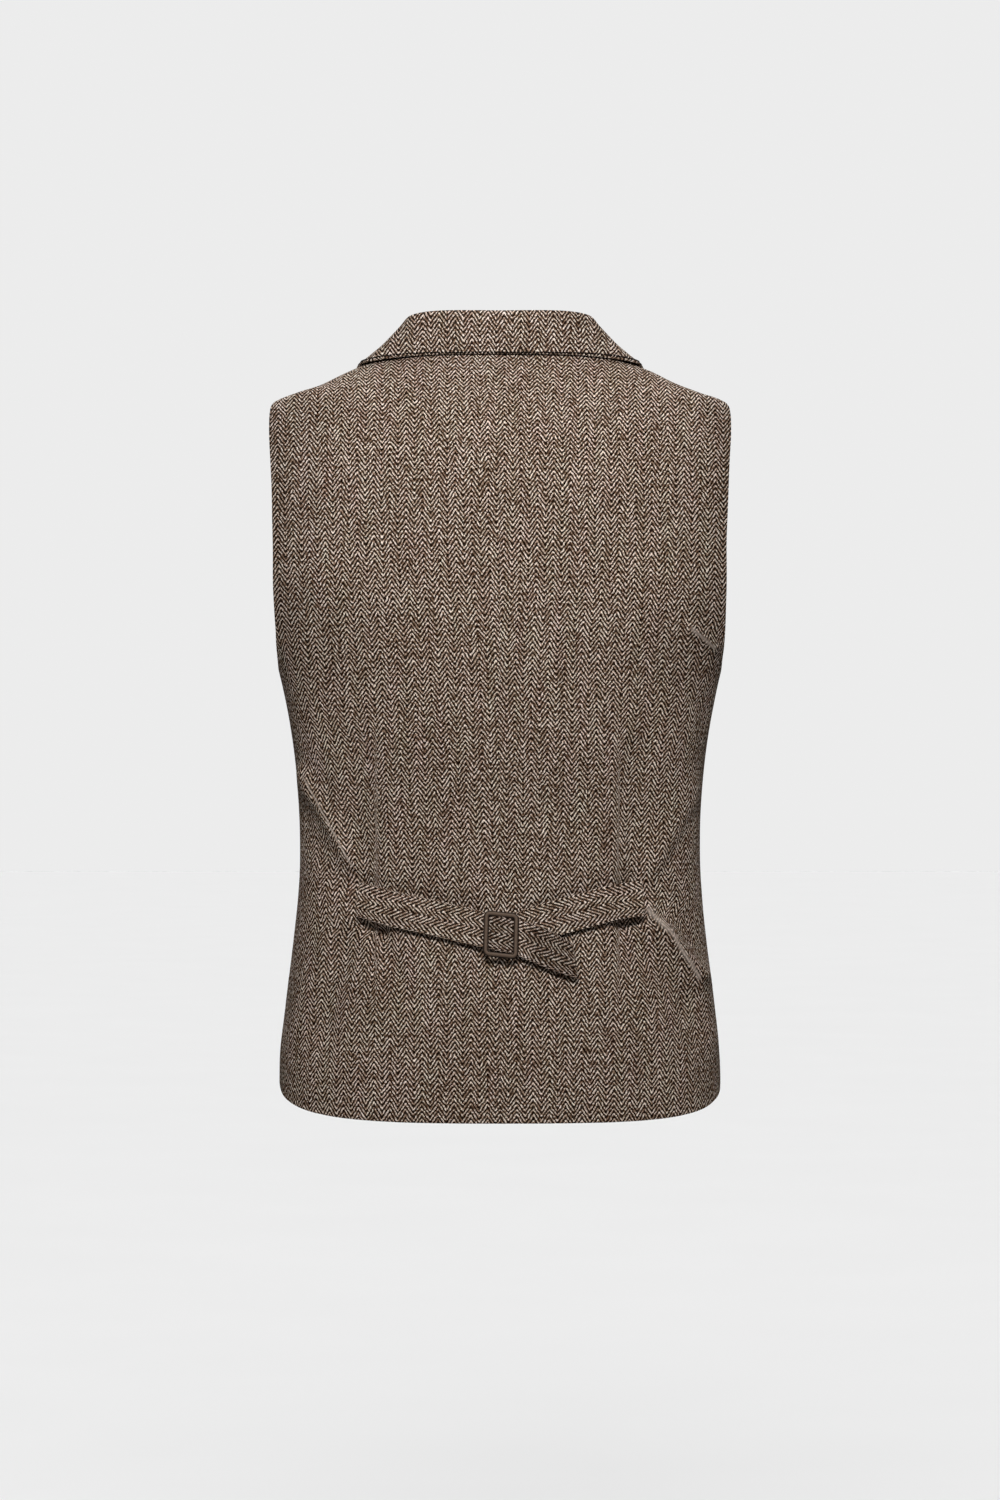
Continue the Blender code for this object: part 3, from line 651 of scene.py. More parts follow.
def climb(z):
    """Distance up the centre back from the hem to a height, run faster near the neck by CLOSER."""
    height = np.linspace(BODY[-1, 0], BODY[0, 0], 200)
    line = ring(0 * height, height)
    step = np.diff(run_of(line)) * (1 + CLOSER * blend(*CLOSER_UP, height[1:]))
    return np.interp(z, height, np.concatenate([[0], np.cumsum(step)]))


def front_sheet(under):
    """Left front: rows from hem to shoulder seam, columns from the front edge to the outer one.

    Turn and height run straight between the two edges; under pushes the centre in along the normal.
    """
    far = run_of(FRONT_ROWS)
    rows = smooth(far, FRONT_ROWS, far[-1] * steps(*FRONT_GRID[0]))
    inner = turn_of(rows[:, 0], rows[:, 1])
    outer = armhole_turn(rows[:, 2], 2)
    share = steps(*FRONT_GRID[1])
    turn = inner[:, None] + (outer - inner)[:, None] * share
    z = rows[:, 1][:, None] + (rows[:, 2] - rows[:, 1])[:, None] * share
    p = ring(math.pi - turn, z)
    n = outward(math.pi - turn, z)
    deep = under * (1 - blend(*UNDER_OUT, p[..., 0])) * (1 - blend(*UNDER_UP, z))
    deep = deep - ripples(p, FRONT_SEED) * blend(*RIPPLES_START_FRONT, -p[..., 1]) * RIPPLES_FRONT
    p = p - n * deep[..., None] - [0, SEAM_HALF, 0]
    arc = grow(p, 1) + rows[:, 0][:, None]
    return p, np.stack([arc, cloth_up(p, z, 1.0)], -1)


def collar_uv(half):
    """Cloth coordinates of the collar's left half: upright columns where a row runs across.

    A step along a row adds to u its length times its share in x, or LEAST_ACROSS if that is more.
    A step down a column takes from v its length times its share in z, or LEAST_DOWN if that is
    more. To v goes a level, which follows the fall's height where rows run across.
    """
    go = np.diff(half, axis=1)
    across = np.abs(go[..., 0]) / np.linalg.norm(go, axis=-1)
    behind = blend(*LEAST_AT, half[..., 1])
    least = np.interp(behind, (0, 1), LEAST_ACROSS)[:, 1:]
    drop = np.diff(half, axis=0)
    step = np.linalg.norm(drop, axis=-1)
    step = np.maximum(np.abs(drop[..., 2]), np.interp(behind, (0, 1), LEAST_DOWN)[1:] * step)
    down = np.pad(np.cumsum(step, 0), [(1, 0), (0, 0)])
    fall = slice(len(half) // 2, None)
    upright = blend(*COLUMNS_UPRIGHT, across[fall].mean(0))
    level = np.cumsum(upright * np.diff((half[fall, :, 2] + down[fall]).mean(0)))
    return np.stack([run_across(half, least), np.pad(level, (1, 0)) - down], -1)


def collar_coarse():
    """Left half of the collar: a section at each station, from the stand's base to the edge."""
    turns = np.radians(NECK_TURNS)
    heights = NECK_HEIGHTS
    neck_x = smooth(FRONT_ROWS[:, 1], FRONT_ROWS[:, 0], heights)
    level = 0 * turns
    edge = np.concatenate([ring(turns, level), on_front(neck_x, heights)])
    at_front = turn_of(neck_x, heights, True)
    normal = np.concatenate([outward(turns, level), outward(at_front, heights)])
    tangent = unit(np.gradient(edge, axis=0))
    up = np.array([0, 0, 1.0])
    lean = np.concatenate([level, blend(*LEAN_IN, heights)])[:, None]
    rise = unit(up * (1 - lean) + normal * lean)
    away = unit(np.cross(up, tangent)) * (1 - lean) + np.cross(normal, tangent) * lean
    away = unit(away - rise * np.sum(away * rise, -1, keepdims=True))
    shape = np.concatenate([
        smooth(np.radians(COLLAR_BACK[:, 0]), COLLAR_BACK[:, 1:], turns),
        column(COLLAR_FRONT, slice(1, None), heights),
    ])
    flat = np.linalg.norm(normal[:, :2], axis=1)[:, None] * (1 - lean)
    base = edge - away * (SEAM_HALF + COLLAR_WALL / 2 + WALL * flat) - rise * STAND_LOW
    top = edge + away * (shape[:, 0:1] - WALL / 2 * flat) + rise * shape[:, 1:2]
    side = edge + away * shape[:, 2:3] + rise * shape[:, 3:4]
    lift = FALL_CLEAR + COLLAR_WALL / 2
    low = -FALL_DROP - FALL_DROP_SIDE * np.sin(turns) ** 3
    hang = ring(turns, low) + outward(turns, low) * lift
    at = np.linspace(0, len(FALL_FRONT) - 1, len(heights) + 1)[1:]
    fall = smooth(np.arange(len(FALL_FRONT)), FALL_FRONT, at)
    out = FALL_CLEAR_FRONT + COLLAR_WALL / 2
    end = np.concatenate([hang, on_front(fall[:, 2], fall[:, 3], out)])
    at_side = np.concatenate([np.sin(turns) ** 6, 1 + 0 * heights])[:, None]
    middle = (side + end) / 2 + away * (FALL_ARCH - FALL_DIP * at_side)
    lie = on_front(fall[:, 0], fall[:, 1], lift + FALL_ARCH_FRONT - FALL_ARCH_LOSS * at)
    share = blend(0.0, 1.6, at)[:, None]
    middle[len(turns):] = middle[len(turns):] * (1 - share) + lie * share
    knots = np.stack([base, top, side, middle, end])
    grid = smooth(np.arange(len(knots)), knots.reshape(len(knots), -1), np.array(SECTION))
    return grid.reshape(len(SECTION), -1, 3)


def lapel_coarse(start):
    """Left lapel: rows from the break to the gorge, a roll round the front edge, then flat."""
    table = FRONT_ROWS
    z = table[(table[:, 1] > start + 0.002) & (table[:, 1] < LAPEL[-1, 0] - 0.002), 1]
    z = np.concatenate([[start], z, [LAPEL[-1, 0]]])
    width = column(LAPEL, 1, z)
    rise = column(LAPEL, 2, z)
    inner = smooth(table[:, 1], table[:, 0], z)
    wall = COLLAR_WALL / 2
    nose = LAPEL_NOSE + wall
    grid = [on_front(inner - nose, z, -LAPEL_TUCK), on_front(inner - 0.75 * nose, z, LAPEL_NOSE)]
    for share in LAPEL_SHARES:
        arch = math.sin(math.pi * min(share * 1.5 + 0.12, 1.0))
        out = wall + LAPEL_CLEAR + LAPEL_ARCH * arch
        grid.append(on_front(inner + width * share, z + rise * share, out))
    return np.stack(grid)


def raised(x, z):
    """Extra height of straps and buckle over the back, more at their lower side near the middle."""
    near = 1 - blend(*TILT_REACH, np.abs(x - BUCKLE_X))
    return near * np.maximum(TILT_RAISE + TILT * (BUCKLE_Z - z), 0)


def strap_sheet(line, free_end, along, across):
    """Band round a middle line: columns along it, rows across its width, over the folded back."""
    far = run_of(line)
    line = smooth(far, line, np.linspace(0, far[-1], along))
    run = unit(np.gradient(line[:, :2], axis=0))
    side = np.stack([run[:, 1], -run[:, 0]], -1) * np.sign(run[:1, 0:1])
    bar = [math.sin(BUCKLE_LEAN), -math.cos(BUCKLE_LEAN)]
    near = 1 - blend(*AT_BAR, np.abs(line[:, 0] - BUCKLE_X))
    side = unit(side * (1 - near[:, None]) + near[:, None] * bar)
    sewn = blend(*AT_SEAM, np.abs(line[:, 0]))[:, None]
    side = unit(side * (1 - sewn) + [0, -1] * sewn)
    tail = blend(*AT_TAIL, -line[:, 0])[:, None] * free_end
    side = unit(side * (1 - tail) + np.array(TAIL_EDGE) * tail)
    at = np.linspace(-0.5, 0.5, across)[:, None] * STRAP_WIDTH
    x = line[:, 0] + side[:, 0] * at
    z = line[:, 1] + side[:, 1] * at
    belly = BELLY * blend(*BELLY_OUT, np.abs(line[:, 0])) * (1 - (2 * at / STRAP_WIDTH) ** 2)
    p = on_back(x, z, line[:, 2] + raised(x, z) + belly - TAIL_TURN * at * tail[:, 0])
    length = grow(p, 1).mean(0)
    return p, np.stack([at + 0 * length, length + 0 * at], -1)


def loop_line():
    """Middle line of the short strap: over the middle bar, round it and back underneath."""
    line = STRAP_RIGHT.tolist()
    slope = math.tan(BUCKLE_LEAN)
    start_x, start_z = LOOP_START
    line.append((BUCKLE_X + start_x, BUCKLE_Z + start_z, BAR_OUT + LOOP_RADIUS - LOOP_SAG))
    for k in range(7):
        a = math.pi * k / 6
        go = LOOP_RADIUS * math.sin(a)
        line.append((BUCKLE_X + go, BUCKLE_Z + slope * go, BAR_OUT + LOOP_RADIUS * math.cos(a)))
    for k in range(1, 4):
        go = -LOOP_RETURN * k / 3
        line.append((BUCKLE_X + go, BUCKLE_Z + slope * go, BAR_OUT - LOOP_RADIUS - LOOP_CLOSE * k))
    return np.array(line)


def buckle_points(across, down, out):
    """Points of the buckle's plane, leaning, its top and bottom sloped, laid over the back."""
    c, s = math.cos(BUCKLE_LEAN), math.sin(BUCKLE_LEAN)
    x = BUCKLE_X - (across * c - down * s)
    z = BUCKLE_Z - (across * BUCKLE_SLOPE + down * c)
    return on_back(x, z, out + raised(x, z))


class Value:
    """Output of a node, with sums, differences, products, quotients and powers as Math nodes."""

    def __init__(self, tree, socket):
        self.tree, self.socket = tree, socket

    def __add__(self, other):
        return maths(self.tree, "ADD", self, other)

    def __sub__(self, other):
        return maths(self.tree, "SUBTRACT", self, other)

    def __rsub__(self, other):
        return maths(self.tree, "SUBTRACT", other, self)

    def __mul__(self, other):
        return maths(self.tree, "MULTIPLY", self, other)

    def __truediv__(self, other):
        return maths(self.tree, "DIVIDE", self, other)

    def __pow__(self, other):
        return maths(self.tree, "POWER", self, other)


def link(value, socket):
    """Join an output to a socket, or set the socket's own value."""
    if isinstance(value, Value):
        value.tree.links.new(value.socket, socket)
    else:
        socket.default_value = value


def add_node(tree, kind, sockets=(), output=0, **settings):
    """One output of a new node, after its settings and the values of its sockets."""
    made = tree.nodes.new(kind)
    for title, value in settings.items():
        setattr(made, title, value)
    for title, value in dict(sockets).items():
        link(value, made.inputs[title])
    return Value(tree, made.outputs[output])


def maths(tree, kind, *values):
    """Math node: kind of the values."""
    return add_node(tree, "ShaderNodeMath", enumerate(values), operation=kind)


def mixed(tree, share, a, b, kind="MIX"):
    """Mix of two colours by a share."""
    sockets = {0: share, 6: a, 7: b}
    return add_node(tree, "ShaderNodeMix", sockets, 2, data_type="RGBA", blend_type=kind)


def noise(tree, vector, scale, detail=2.0, rough=0.5, output="Fac"):
    """Noise of a vector, its value or its colour."""
    sockets = {"Vector": vector, "Scale": scale, "Detail": detail, "Roughness": rough}
    return add_node(tree, "ShaderNodeTexNoise", sockets, output)


def stretched(tree, x, y, z=0.0):
    """Vector of three values."""
    return add_node(tree, "ShaderNodeCombineXYZ", enumerate((x, y, z)))


def split(tree, vector):
    """The three values of a vector."""
    made = tree.nodes.new("ShaderNodeSeparateXYZ")
    link(vector, made.inputs[0])
    return [Value(tree, socket) for socket in made.outputs]


def group(name, inputs, outputs):
    """Empty shader node group: its tree, its inputs as values and the sockets of its outputs."""
    tree = bpy.data.node_groups.new(name, "ShaderNodeTree")
    for way, sockets in (("INPUT", inputs), ("OUTPUT", outputs)):
        for title, kind in sockets:
            tree.interface.new_socket(title, in_out=way, socket_type="NodeSocket" + kind)
    inlet = tree.nodes.new("NodeGroupInput").outputs
    given = {title: Value(tree, inlet[title]) for title, _ in inputs}
    return tree, given, tree.nodes.new("NodeGroupOutput").inputs


def random_of(tree, a, b):
    """A value from 0 to 1 for each pair of whole numbers."""
    place = {"Vector": stretched(tree, a, b)}
    return add_node(tree, "ShaderNodeTexWhiteNoise", place, "Value", noise_dimensions="2D")


def arch(tree, share):
    """Half circle over a share from 0 to 1."""
    centred = share * 2.0 - 1.0
    return maths(tree, "SQRT", maths(tree, "MAXIMUM", 1.0 - centred * centred, 0.0))


def herringbone():
    """Two and two twill of light ends and dark picks that turns every stripe: colour and height.

    Ends are counted across and picks up. The end's place in its pair of stripes gives the step of
    the twill, and step plus pick in fours says which yarn lies on top. Each yarn is a half circle
    high.
    """
    tree, given, outlet = group(
        "herringbone",
        (("Vector", "Vector"), ("Light", "Color"), ("Dark", "Color"), ("Uneven", "Float"),
         ("Fuzz", "Float")),
        (("Color", "Color"), ("Height", "Float")))
    place = given["Vector"]
    u, v, _ = split(tree, place)
    thick = noise(tree, stretched(tree, u * THICK_PICKS[0], v * THICK_PICKS[1]), 1.0, 1.0)
    for scale, rough, aside, up in WAVER:
        off = split(tree, noise(tree, place, scale, rough=rough, output="Color"))
        u = u + (off[0] - 0.5) * aside
        v = v + (off[1] - 0.5) * up
    u = u / END
    v = (v + (thick - 0.5) * THICK_PICKS[2]) / PICK
    end = maths(tree, "FLOOR", u)
    pick = maths(tree, "FLOOR", v)
    in_end = u - end
    turn = maths(tree, "FLOORED_MODULO", end, 2.0 * STRIPE_ENDS)
    step = maths(tree, "MINIMUM", turn, 2.0 * STRIPE_ENDS - 1 - turn)
    rising = maths(tree, "LESS_THAN", turn, STRIPE_ENDS - 0.5)
    run = pick + step
    four = maths(tree, "FLOORED_MODULO", run, 4.0)
    over = maths(tree, "LESS_THAN", four, 1.5)
    along_end = arch(tree, (four + (v - pick)) * 0.5)
    way = (four - 2.0) * rising + (3.0 - four) * (1.0 - rising)
    along_pick = arch(tree, (way + in_end) * 0.5)
    end_high = arch(tree, in_end) * (along_end * 0.6 + 0.4)
    pick_high = arch(tree, v - pick) * (along_pick * 0.6 + 0.4)
    high = end_high * over + pick_high * (1.0 - over) * PICK_LOW
    fibre = noise(tree, place, FIBRE, rough=0.6)
    each_float = random_of(tree, end + 0.37, maths(tree, "FLOOR", run * 0.25) + pick)
    level = random_of(tree, end, 7.0) * 0.24 + 0.88
    for value, gain, middle in (
            (each_float ** 2.5, 2.3, 0.29),
            (noise(tree, place, 380.0, 3.0, 0.75), 4.8, 0.5),
            (fibre, 0.8, 0.5),
            (noise(tree, stretched(tree, u * 0.9, v * 0.016), 1.0, rough=0.6), 2.0, 0.5),
            (noise(tree, stretched(tree, u * 0.014, v * 0.7), 1.0, rough=0.6), 1.4, 0.5),
            (noise(tree, place, 22.0, 3.0, 0.6), 0.45, 0.5)):
        level = level * maths(tree, "MAXIMUM", (value - middle) * gain + 1.0, 0.08)
    level = (level - 1.0) * given["Uneven"] + 1.0
    shade = maths(tree, "MINIMUM", level * (high * 0.75 + 0.35), 1.5)
    yarn = mixed(tree, over * along_end ** LIT_POWER, given["Dark"], given["Light"])
    drift = noise(tree, stretched(tree, u * 0.07, v * 0.02), 1.0) * 0.16 + 0.92
    tint = stretched(tree, shade ** TINT[0] * drift, shade, shade ** TINT[1] * drift)
    fluff = noise(tree, place, 1500.0, 3.0, 0.7) * given["Fuzz"]
    yarn = mixed(tree, fluff, yarn, mixed(tree, 0.45, given["Dark"], given["Light"]))
    link(mixed(tree, 1.0, yarn, tint, "MULTIPLY"), outlet["Color"])
    link(fibre * 0.35 + high, outlet["Height"])
    return tree


def material(name, rough, metal=0.0, **sockets):
    """Material with a Principled shader, and the values of its own sockets."""
    made = bpy.data.materials.new(name)
    made.use_nodes = True
    shader = made.node_tree.nodes["Principled BSDF"]
    for title, value in dict(sockets, Roughness=rough, Metallic=metal).items():
        shader.inputs[title.replace("_", " ")].default_value = value
    return made, made.node_tree, shader


def dress(tree, shader, colour, height, strength, distance):
    """Base colour of the shader, and a bump node from a height into its normal."""
    link(colour, shader.inputs["Base Color"])
    sockets = {"Strength": strength, "Distance": distance, "Height": height}
    link(add_node(tree, "ShaderNodeBump", sockets), shader.inputs["Normal"])


def place_of(tree, title):
    """Vector of the piece's own cloth coordinates, or of its place."""
    if title == "cloth":
        return add_node(tree, "ShaderNodeUVMap", uv_map="cloth")
    return add_node(tree, "ShaderNodeTexCoord", output="Object")


def near_line(tree, x, z, row):
    """exp(-(distance to a line over its half width) squared) at x and z."""
    x0, z0, x1, z1, width = row
    size = math.hypot(x1 - x0, z1 - z0)
    go_x, go_z = (x1 - x0) / size, (z1 - z0) / size
    off_x, off_z = x - x0, z - z0
    along = off_x * go_x + off_z * go_z
    aside = off_x * go_z - off_z * go_x
    past = along - maths(tree, "MINIMUM", maths(tree, "MAXIMUM", along, 0.0), size)
    return maths(tree, "EXPONENT", (aside * aside + past * past) * (-1 / width ** 2))


def crest_highlight_share(tree):
    """Share of the painted highlight on fold crests: the nearest crest's, on the back, its line
    wavy.
    """
    place = place_of(tree, "Object")
    x, y, z = split(tree, place)
    x = x + (noise(tree, place, 90.0) - 0.5) * CREST_WAVE
    most = 0.0
    for row in CRESTS:
        most = maths(tree, "MAXIMUM", most, near_line(tree, x, z, row))
    return most * maths(tree, "GREATER_THAN", y, BACK_OF)


def tweed_material():
    """Brown herringbone wool, dull, darker where an attribute says (painted shade inside the
    buckle's frame, a darker tail) and with a painted highlight on fold crests.
    """
    made, tree, shader = material("tweed", 0.92, Specular_IOR_Level=0.03)
    weave = tree.nodes.new("ShaderNodeGroup")
    weave.node_tree = herringbone()
    for title, value in (("Vector", place_of(tree, "cloth")), ("Light", LIGHT_YARN),
                         ("Dark", DARK_YARN), ("Uneven", 1.0), ("Fuzz", 0.06)):
        link(value, weave.inputs[title])
    # The attribute is painted shade inside the buckle's frame and a darker tail towards its free
    # end
    darker_tail_and_painted_shade = add_node(tree, "ShaderNodeAttribute", output="Fac", attribute_name="darker_tail_and_painted_shade")
    left = darker_tail_and_painted_shade * -DARKER + 1.0
    colour = Value(tree, weave.outputs["Color"])
    patchy = mixed(tree, 1.0, colour, stretched(tree, left, left, left), "MULTIPLY")
    # Painted highlight on the crests of folds
    highlighted = mixed(tree, crest_highlight_share(tree) * CREST_MOST, patchy, CREST_HIGHLIGHT)
    dress(tree, shader, highlighted, Value(tree, weave.outputs["Height"]), 0.7, 0.00035)
    return made


def bronze_material():
    """Dark bronze wire with a painted highlight where it faces the eye and painted shade on its
    flanks, its roughness in patches.
    """
    made, tree, shader = material("dark_bronze", 0.45, 0.2, Specular_IOR_Level=0.1)
    place = place_of(tree, "Object")
    patchy = noise(tree, place, 260.0, 4.0, 0.6)
    # Painted shade on the flanks, varied in patches, and a painted highlight where the wire faces
    # the eye
    facing = add_node(tree, "ShaderNodeLayerWeight", {"Blend": 0.93}, "Facing")
    painted_shade_flank = mixed(tree, patchy, (0.006, 0.004, 0.003, 1.0), (0.014, 0.009, 0.007, 1.0))
    colour = mixed(tree, facing, (0.125, 0.086, 0.062, 1.0), painted_shade_flank)
    link(patchy * 0.25 + 0.40, shader.inputs["Roughness"])
    dress(tree, shader, colour, noise(tree, place, 1800.0), 0.15, 0.0002)
    return made


def horn_material():
    """Brown horn with darker and lighter streaks under a soft polish."""
    made, tree, shader = material("brown_horn", 0.34, Coat_Weight=0.25, Coat_Roughness=0.15)
    place = place_of(tree, "Object")
    x, y, z = split(tree, place)
    streaks = noise(tree, stretched(tree, x * 420.0, y * 60.0, z * 150.0), 1.0, 4.0, 0.6)
    colour = mixed(tree, streaks, (0.018, 0.010, 0.006, 1.0), (0.20, 0.115, 0.06, 1.0))
    dress(tree, shader, colour, noise(tree, place, 1400.0), 0.08, 0.0002)
    return made


def thread_material(name, colour):
    """Twisted sewing thread: slanted ridges along it, with painted shade between them."""
    made, tree, shader = material(name, 0.8, Specular_IOR_Level=0.15)
    u, v, _ = split(tree, place_of(tree, "cloth"))
    ridge = maths(tree, "SINE", (u + v) * TWIST) * 0.5 + 0.5
    # Painted shade in the grooves between the ridges
    dark = tuple(0.45 * c for c in colour[:3]) + (1.0,)
    dress(tree, shader, mixed(tree, ridge, dark, colour), ridge, 0.5, 0.0001)
    return made


def floor_material():
    """Floor that looks evenly pale: its paint is paleness over the light that falls on each point.

    The soft box gives power over four times both slants over distance squared, the rest is even.
    Other pieces see a plain grey floor.
    """
    made, tree, shader = material("pale_floor", 0.95, Specular_IOR_Level=0.0)
    place = place_of(tree, "Object")
    x, y, _ = split(tree, place)
    off_x, off_y, high = x - BOX_AT.x, y - BOX_AT.y, BOX_AT.z - FLOOR_Z
    aim = (BOX_TO - BOX_AT).normalized()
    slant = off_x * aim.x + off_y * aim.y - high * aim.z
    apart = off_x * off_x + off_y * off_y + high ** 2
    lit = maths(tree, "MAXIMUM", slant, 0.0) / apart ** 2.0 * (high * BOX_POWER / 4) + FLOOR_LIT
    level = (noise(tree, place, 3.0) * 0.02 + (PALE - 0.01)) / lit * math.pi
    seen = add_node(tree, "ShaderNodeLightPath", output="Is Camera Ray")
    colour = mixed(tree, seen, FLOOR_GREY, stretched(tree, level, level, level))
    link(colour, shader.inputs["Base Color"])
    return made


TWEED = tweed_material()
BRONZE = bronze_material()
HORN = horn_material()
STITCH = thread_material("dark_thread", (0.009, 0.005, 0.003, 1.0))
GIMP = thread_material("brown_thread", (0.085, 0.055, 0.038, 1.0))


def flip(grid, uv):
    """The mirror image of a sheet, its columns turned round so that it still faces out."""
    return grid[:, ::-1] * [-1, 1, 1], uv[:, ::-1]


def make_panels():
    """The four panels, each with seams at its neighbours and rounded free edges elsewhere."""
    left, left_uv = back_sheet(1)
    right, right_uv = back_sheet(-1)
    over, over_uv = front_sheet(0.0)
    under, under_uv = flip(*front_sheet(UNDER))
    sheets = (
        ("back_left", left[:, ::-1], left_uv[:, ::-1], (FREE, SEWN, SEWN, SEWN)),
        ("back_right", right * [-1, 1, 1], right_uv, (FREE, SEWN, SEWN, SEWN)),
        ("front_left", over, over_uv, (FREE, SEWN, FREE, SEWN)),
        ("front_right", under, under_uv * [-1, 1], (FREE, SEWN, SEWN, FREE)),
    )
    return {name: shell(name + "_cloth", grid, uv, WALL, edges, TWEED)
            for name, grid, uv, edges in sheets}


def make_collar():
    """Collar and lapels from their coarse sections, resampled fine."""
    made = {}
    half = collar_coarse()
    whole = np.concatenate([(half * [-1, 1, 1])[:, :0:-1], half], 1)
    fine = refine(whole, *COLLAR_GRID)
    middle = fine.shape[1] // 2
    half_uv = collar_uv(fine[:, middle:])
    uv = np.concatenate([(half_uv * [-1, 1])[:, :0:-1], half_uv], 1) + [SHIFT, 0]
    edges = (SEWN, FREE, FREE, FREE)
    made["collar"] = shell("collar_cloth", fine, uv, COLLAR_WALL, edges, TWEED, True)
    stitches(fine)
    for name, start in (("lapel_left", BREAK_OVER), ("lapel_right", BREAK_UNDER)):
        fine = refine(lapel_coarse(start), *LAPEL_GRID)
        uv = np.stack([grow(fine, 0), grow(fine, 1)], -1)
        if name == "lapel_right":
            fine, uv = flip(fine, uv)
        made[name] = shell(name + "_cloth", fine, uv, COLLAR_WALL, edges, TWEED, True)
    return made


def stitches(fine):
    """Running stitches on the collar: short tubes at a set distance from the fall's edge."""
    up = grow(fine, 0)
    nears = blend(*STITCH_NEARS, np.abs(fine[-1, :, 0]))
    back = up[-1] - STITCH_IN[0] - (STITCH_IN[1] - STITCH_IN[0]) * nears
    column = np.arange(fine.shape[1])
    row = np.array([np.interp(back[k], up[:, k], np.arange(len(fine))) for k in column])
    low = row.astype(int)
    part = (row - low)[:, None]
    line = fine[low, column] * (1 - part) + fine[low + 1, column] * part
    face = normals(fine)[low, column]
    line = line + face * COLLAR_WALL / 2
    far = run_of(line)
    count = int(far[-1] / (STITCH_LONG + STITCH_GAP))
    t = np.linspace(0, math.pi, 7)
    grids = []
    for k in range(2, count - 1):
        at = k * (STITCH_LONG + STITCH_GAP) + STITCH_LONG * (0.5 - 0.5 * np.cos(t))
        p = np.stack([np.interp(at, far, line[:, c]) for c in range(3)], -1)
        n = unit(np.stack([np.interp(at, far, face[:, c]) for c in range(3)], -1))
        p = p + n * (np.sin(t) * STITCH_ARCH - STITCH_SUNK)[:, None]
        grids.append(tube(p, STITCH_THICK * np.maximum(np.sin(t), 0.02) ** 0.5, 6, up=n))
    tubes("collar_stitches", grids, STITCH)


def make_straps():
    """The two straps, each a flat tube of cloth with rounded sides."""
    made = {}
    for name, line in (("strap_left", STRAP_LEFT), ("strap_right", loop_line())):
        free_end = name == "strap_left"
        fine, uv = strap_sheet(line, free_end, *STRAP_GRID)
        made[name] = shell(name + "_cloth", fine, uv, STRAP_WALL, (0.0007,) * 4, TWEED, True)
        mesh = made[name].data
        place = np.empty(len(mesh.vertices) * 3)
        mesh.vertices.foreach_get("co", place)
        # Painted shade on the straps inside the buckle's frame, and the tail darker towards its
        # free end
        inside = 1 - blend(*SHADED, np.abs(place[0::3] - BUCKLE_X))
        darker = np.maximum(free_end * blend(*DARKER_TAIL, -place[0::3]), SHADED_SHARE * inside)
        mesh.attributes.new("darker_tail_and_painted_shade", "FLOAT", "POINT").data.foreach_set("value", darker)
    return made


def make_buckle():
    """Round wire bent to a frame with round corners, and its middle bar."""
    half_w = BUCKLE_WIDTH / 2 - BUCKLE_WIRE
    half_h = BUCKLE_HEIGHT / 2 - BUCKLE_WIRE
    r = BUCKLE_CORNER - BUCKLE_WIRE
    across, down = [], []
    for corner in range(4):
        a = np.radians(90 * corner + np.linspace(0, 90, 10))
        across.append((half_w - r) * (1 if corner in (0, 3) else -1) + r * np.cos(a))
        down.append((half_h - r) * (1 if corner in (0, 1) else -1) + r * np.sin(a))
    line = buckle_points(np.concatenate(across), np.concatenate(down), BUCKLE_OUT)
    frame_grid = tube(line, BUCKLE_WIRE, 18, True, BUCKLE_FLAT, up=[0.0, 1.0, 0.0])
    share = np.linspace(-1, 1, 60)
    under = column(BAR, 1, share)
    line = buckle_points(0 * share, half_h * share, BUCKLE_OUT - under)
    bar_grid = tube(line, BAR_WIRE, 14, up=[0.0, 1.0, 0.0])
    made = tubes("buckle_frame", [frame_grid], BRONZE, True)
    bar = tubes("buckle_bar", [bar_grid], BRONZE)
    return made, bar


def button_frame(height):
    """Centre, and the axes right, up and out of a button on the left front."""
    centre = on_front(np.zeros(1), np.array([height]), BUTTON_OFF)[0]
    out = outward(np.array([math.pi]), np.array([height]))[0]
    right = np.array([1.0, 0.0, 0.0])
    return centre, right, np.cross(out, right), out


def make_button(number, height):
    """Turned disc: the section's radius and height round the axis, less four round pits."""
    centre, right, up, out = button_frame(height)
    far = run_of(np.pad(BUTTON_SECTION, ((0, 0), (0, 1))))
    last = far[-1]
    at = np.concatenate([np.linspace(0, 0.42 * last, 40), np.linspace(0.43 * last, last, 34)])
    section = np.stack([np.interp(at, far, BUTTON_SECTION[:, k]) for k in (0, 1)], -1)
    a = np.linspace(0, 2 * math.pi, 96, endpoint=False)
    r = section[:, :1] * BUTTON_RADIUS
    x, y = r * np.cos(a), r * np.sin(a)
    h = section[:, 1:] * BUTTON_THICK + 0 * x
    top = section[:, 1:] > 0.6
    for k in range(4):
        b = math.radians(90 * k + 45)
        gap = np.hypot(x - HOLE_OFF * math.cos(b), y - HOLE_OFF * math.sin(b))
        pit = 1 - blend(HOLE_RADIUS * 0.8, HOLE_RADIUS * 1.15, gap)
        h = h - top * HOLE_DEEP * BUTTON_THICK * pit
    p = centre + x[..., None] * right + y[..., None] * up + h[..., None] * out
    uv = np.stack([x, y], -1).reshape(-1, 2)
    faces = tube_faces(*x.shape, False)
    made = put("button_%d_horn" % number, p.reshape(-1, 3), faces, uv, HORN)
    grids = []
    level = FACE_LEVEL * BUTTON_THICK
    t = np.linspace(-1, 1, 11)
    for side in (-1, 1):
        for shift in (-0.35, 0.35):
            line = (centre + np.outer(side * HOLE_OFF * 0.707 + shift * THREAD * 2, right)
                    + np.outer(t * HOLE_OFF * 0.80, up)
                    + np.outer(level + 0.00045 - 0.0012 * t ** 6, out))
            grids.append(tube(line, THREAD, 8, up=out))
    thread = tubes("button_%d_thread" % number, grids, GIMP)
    return made, thread


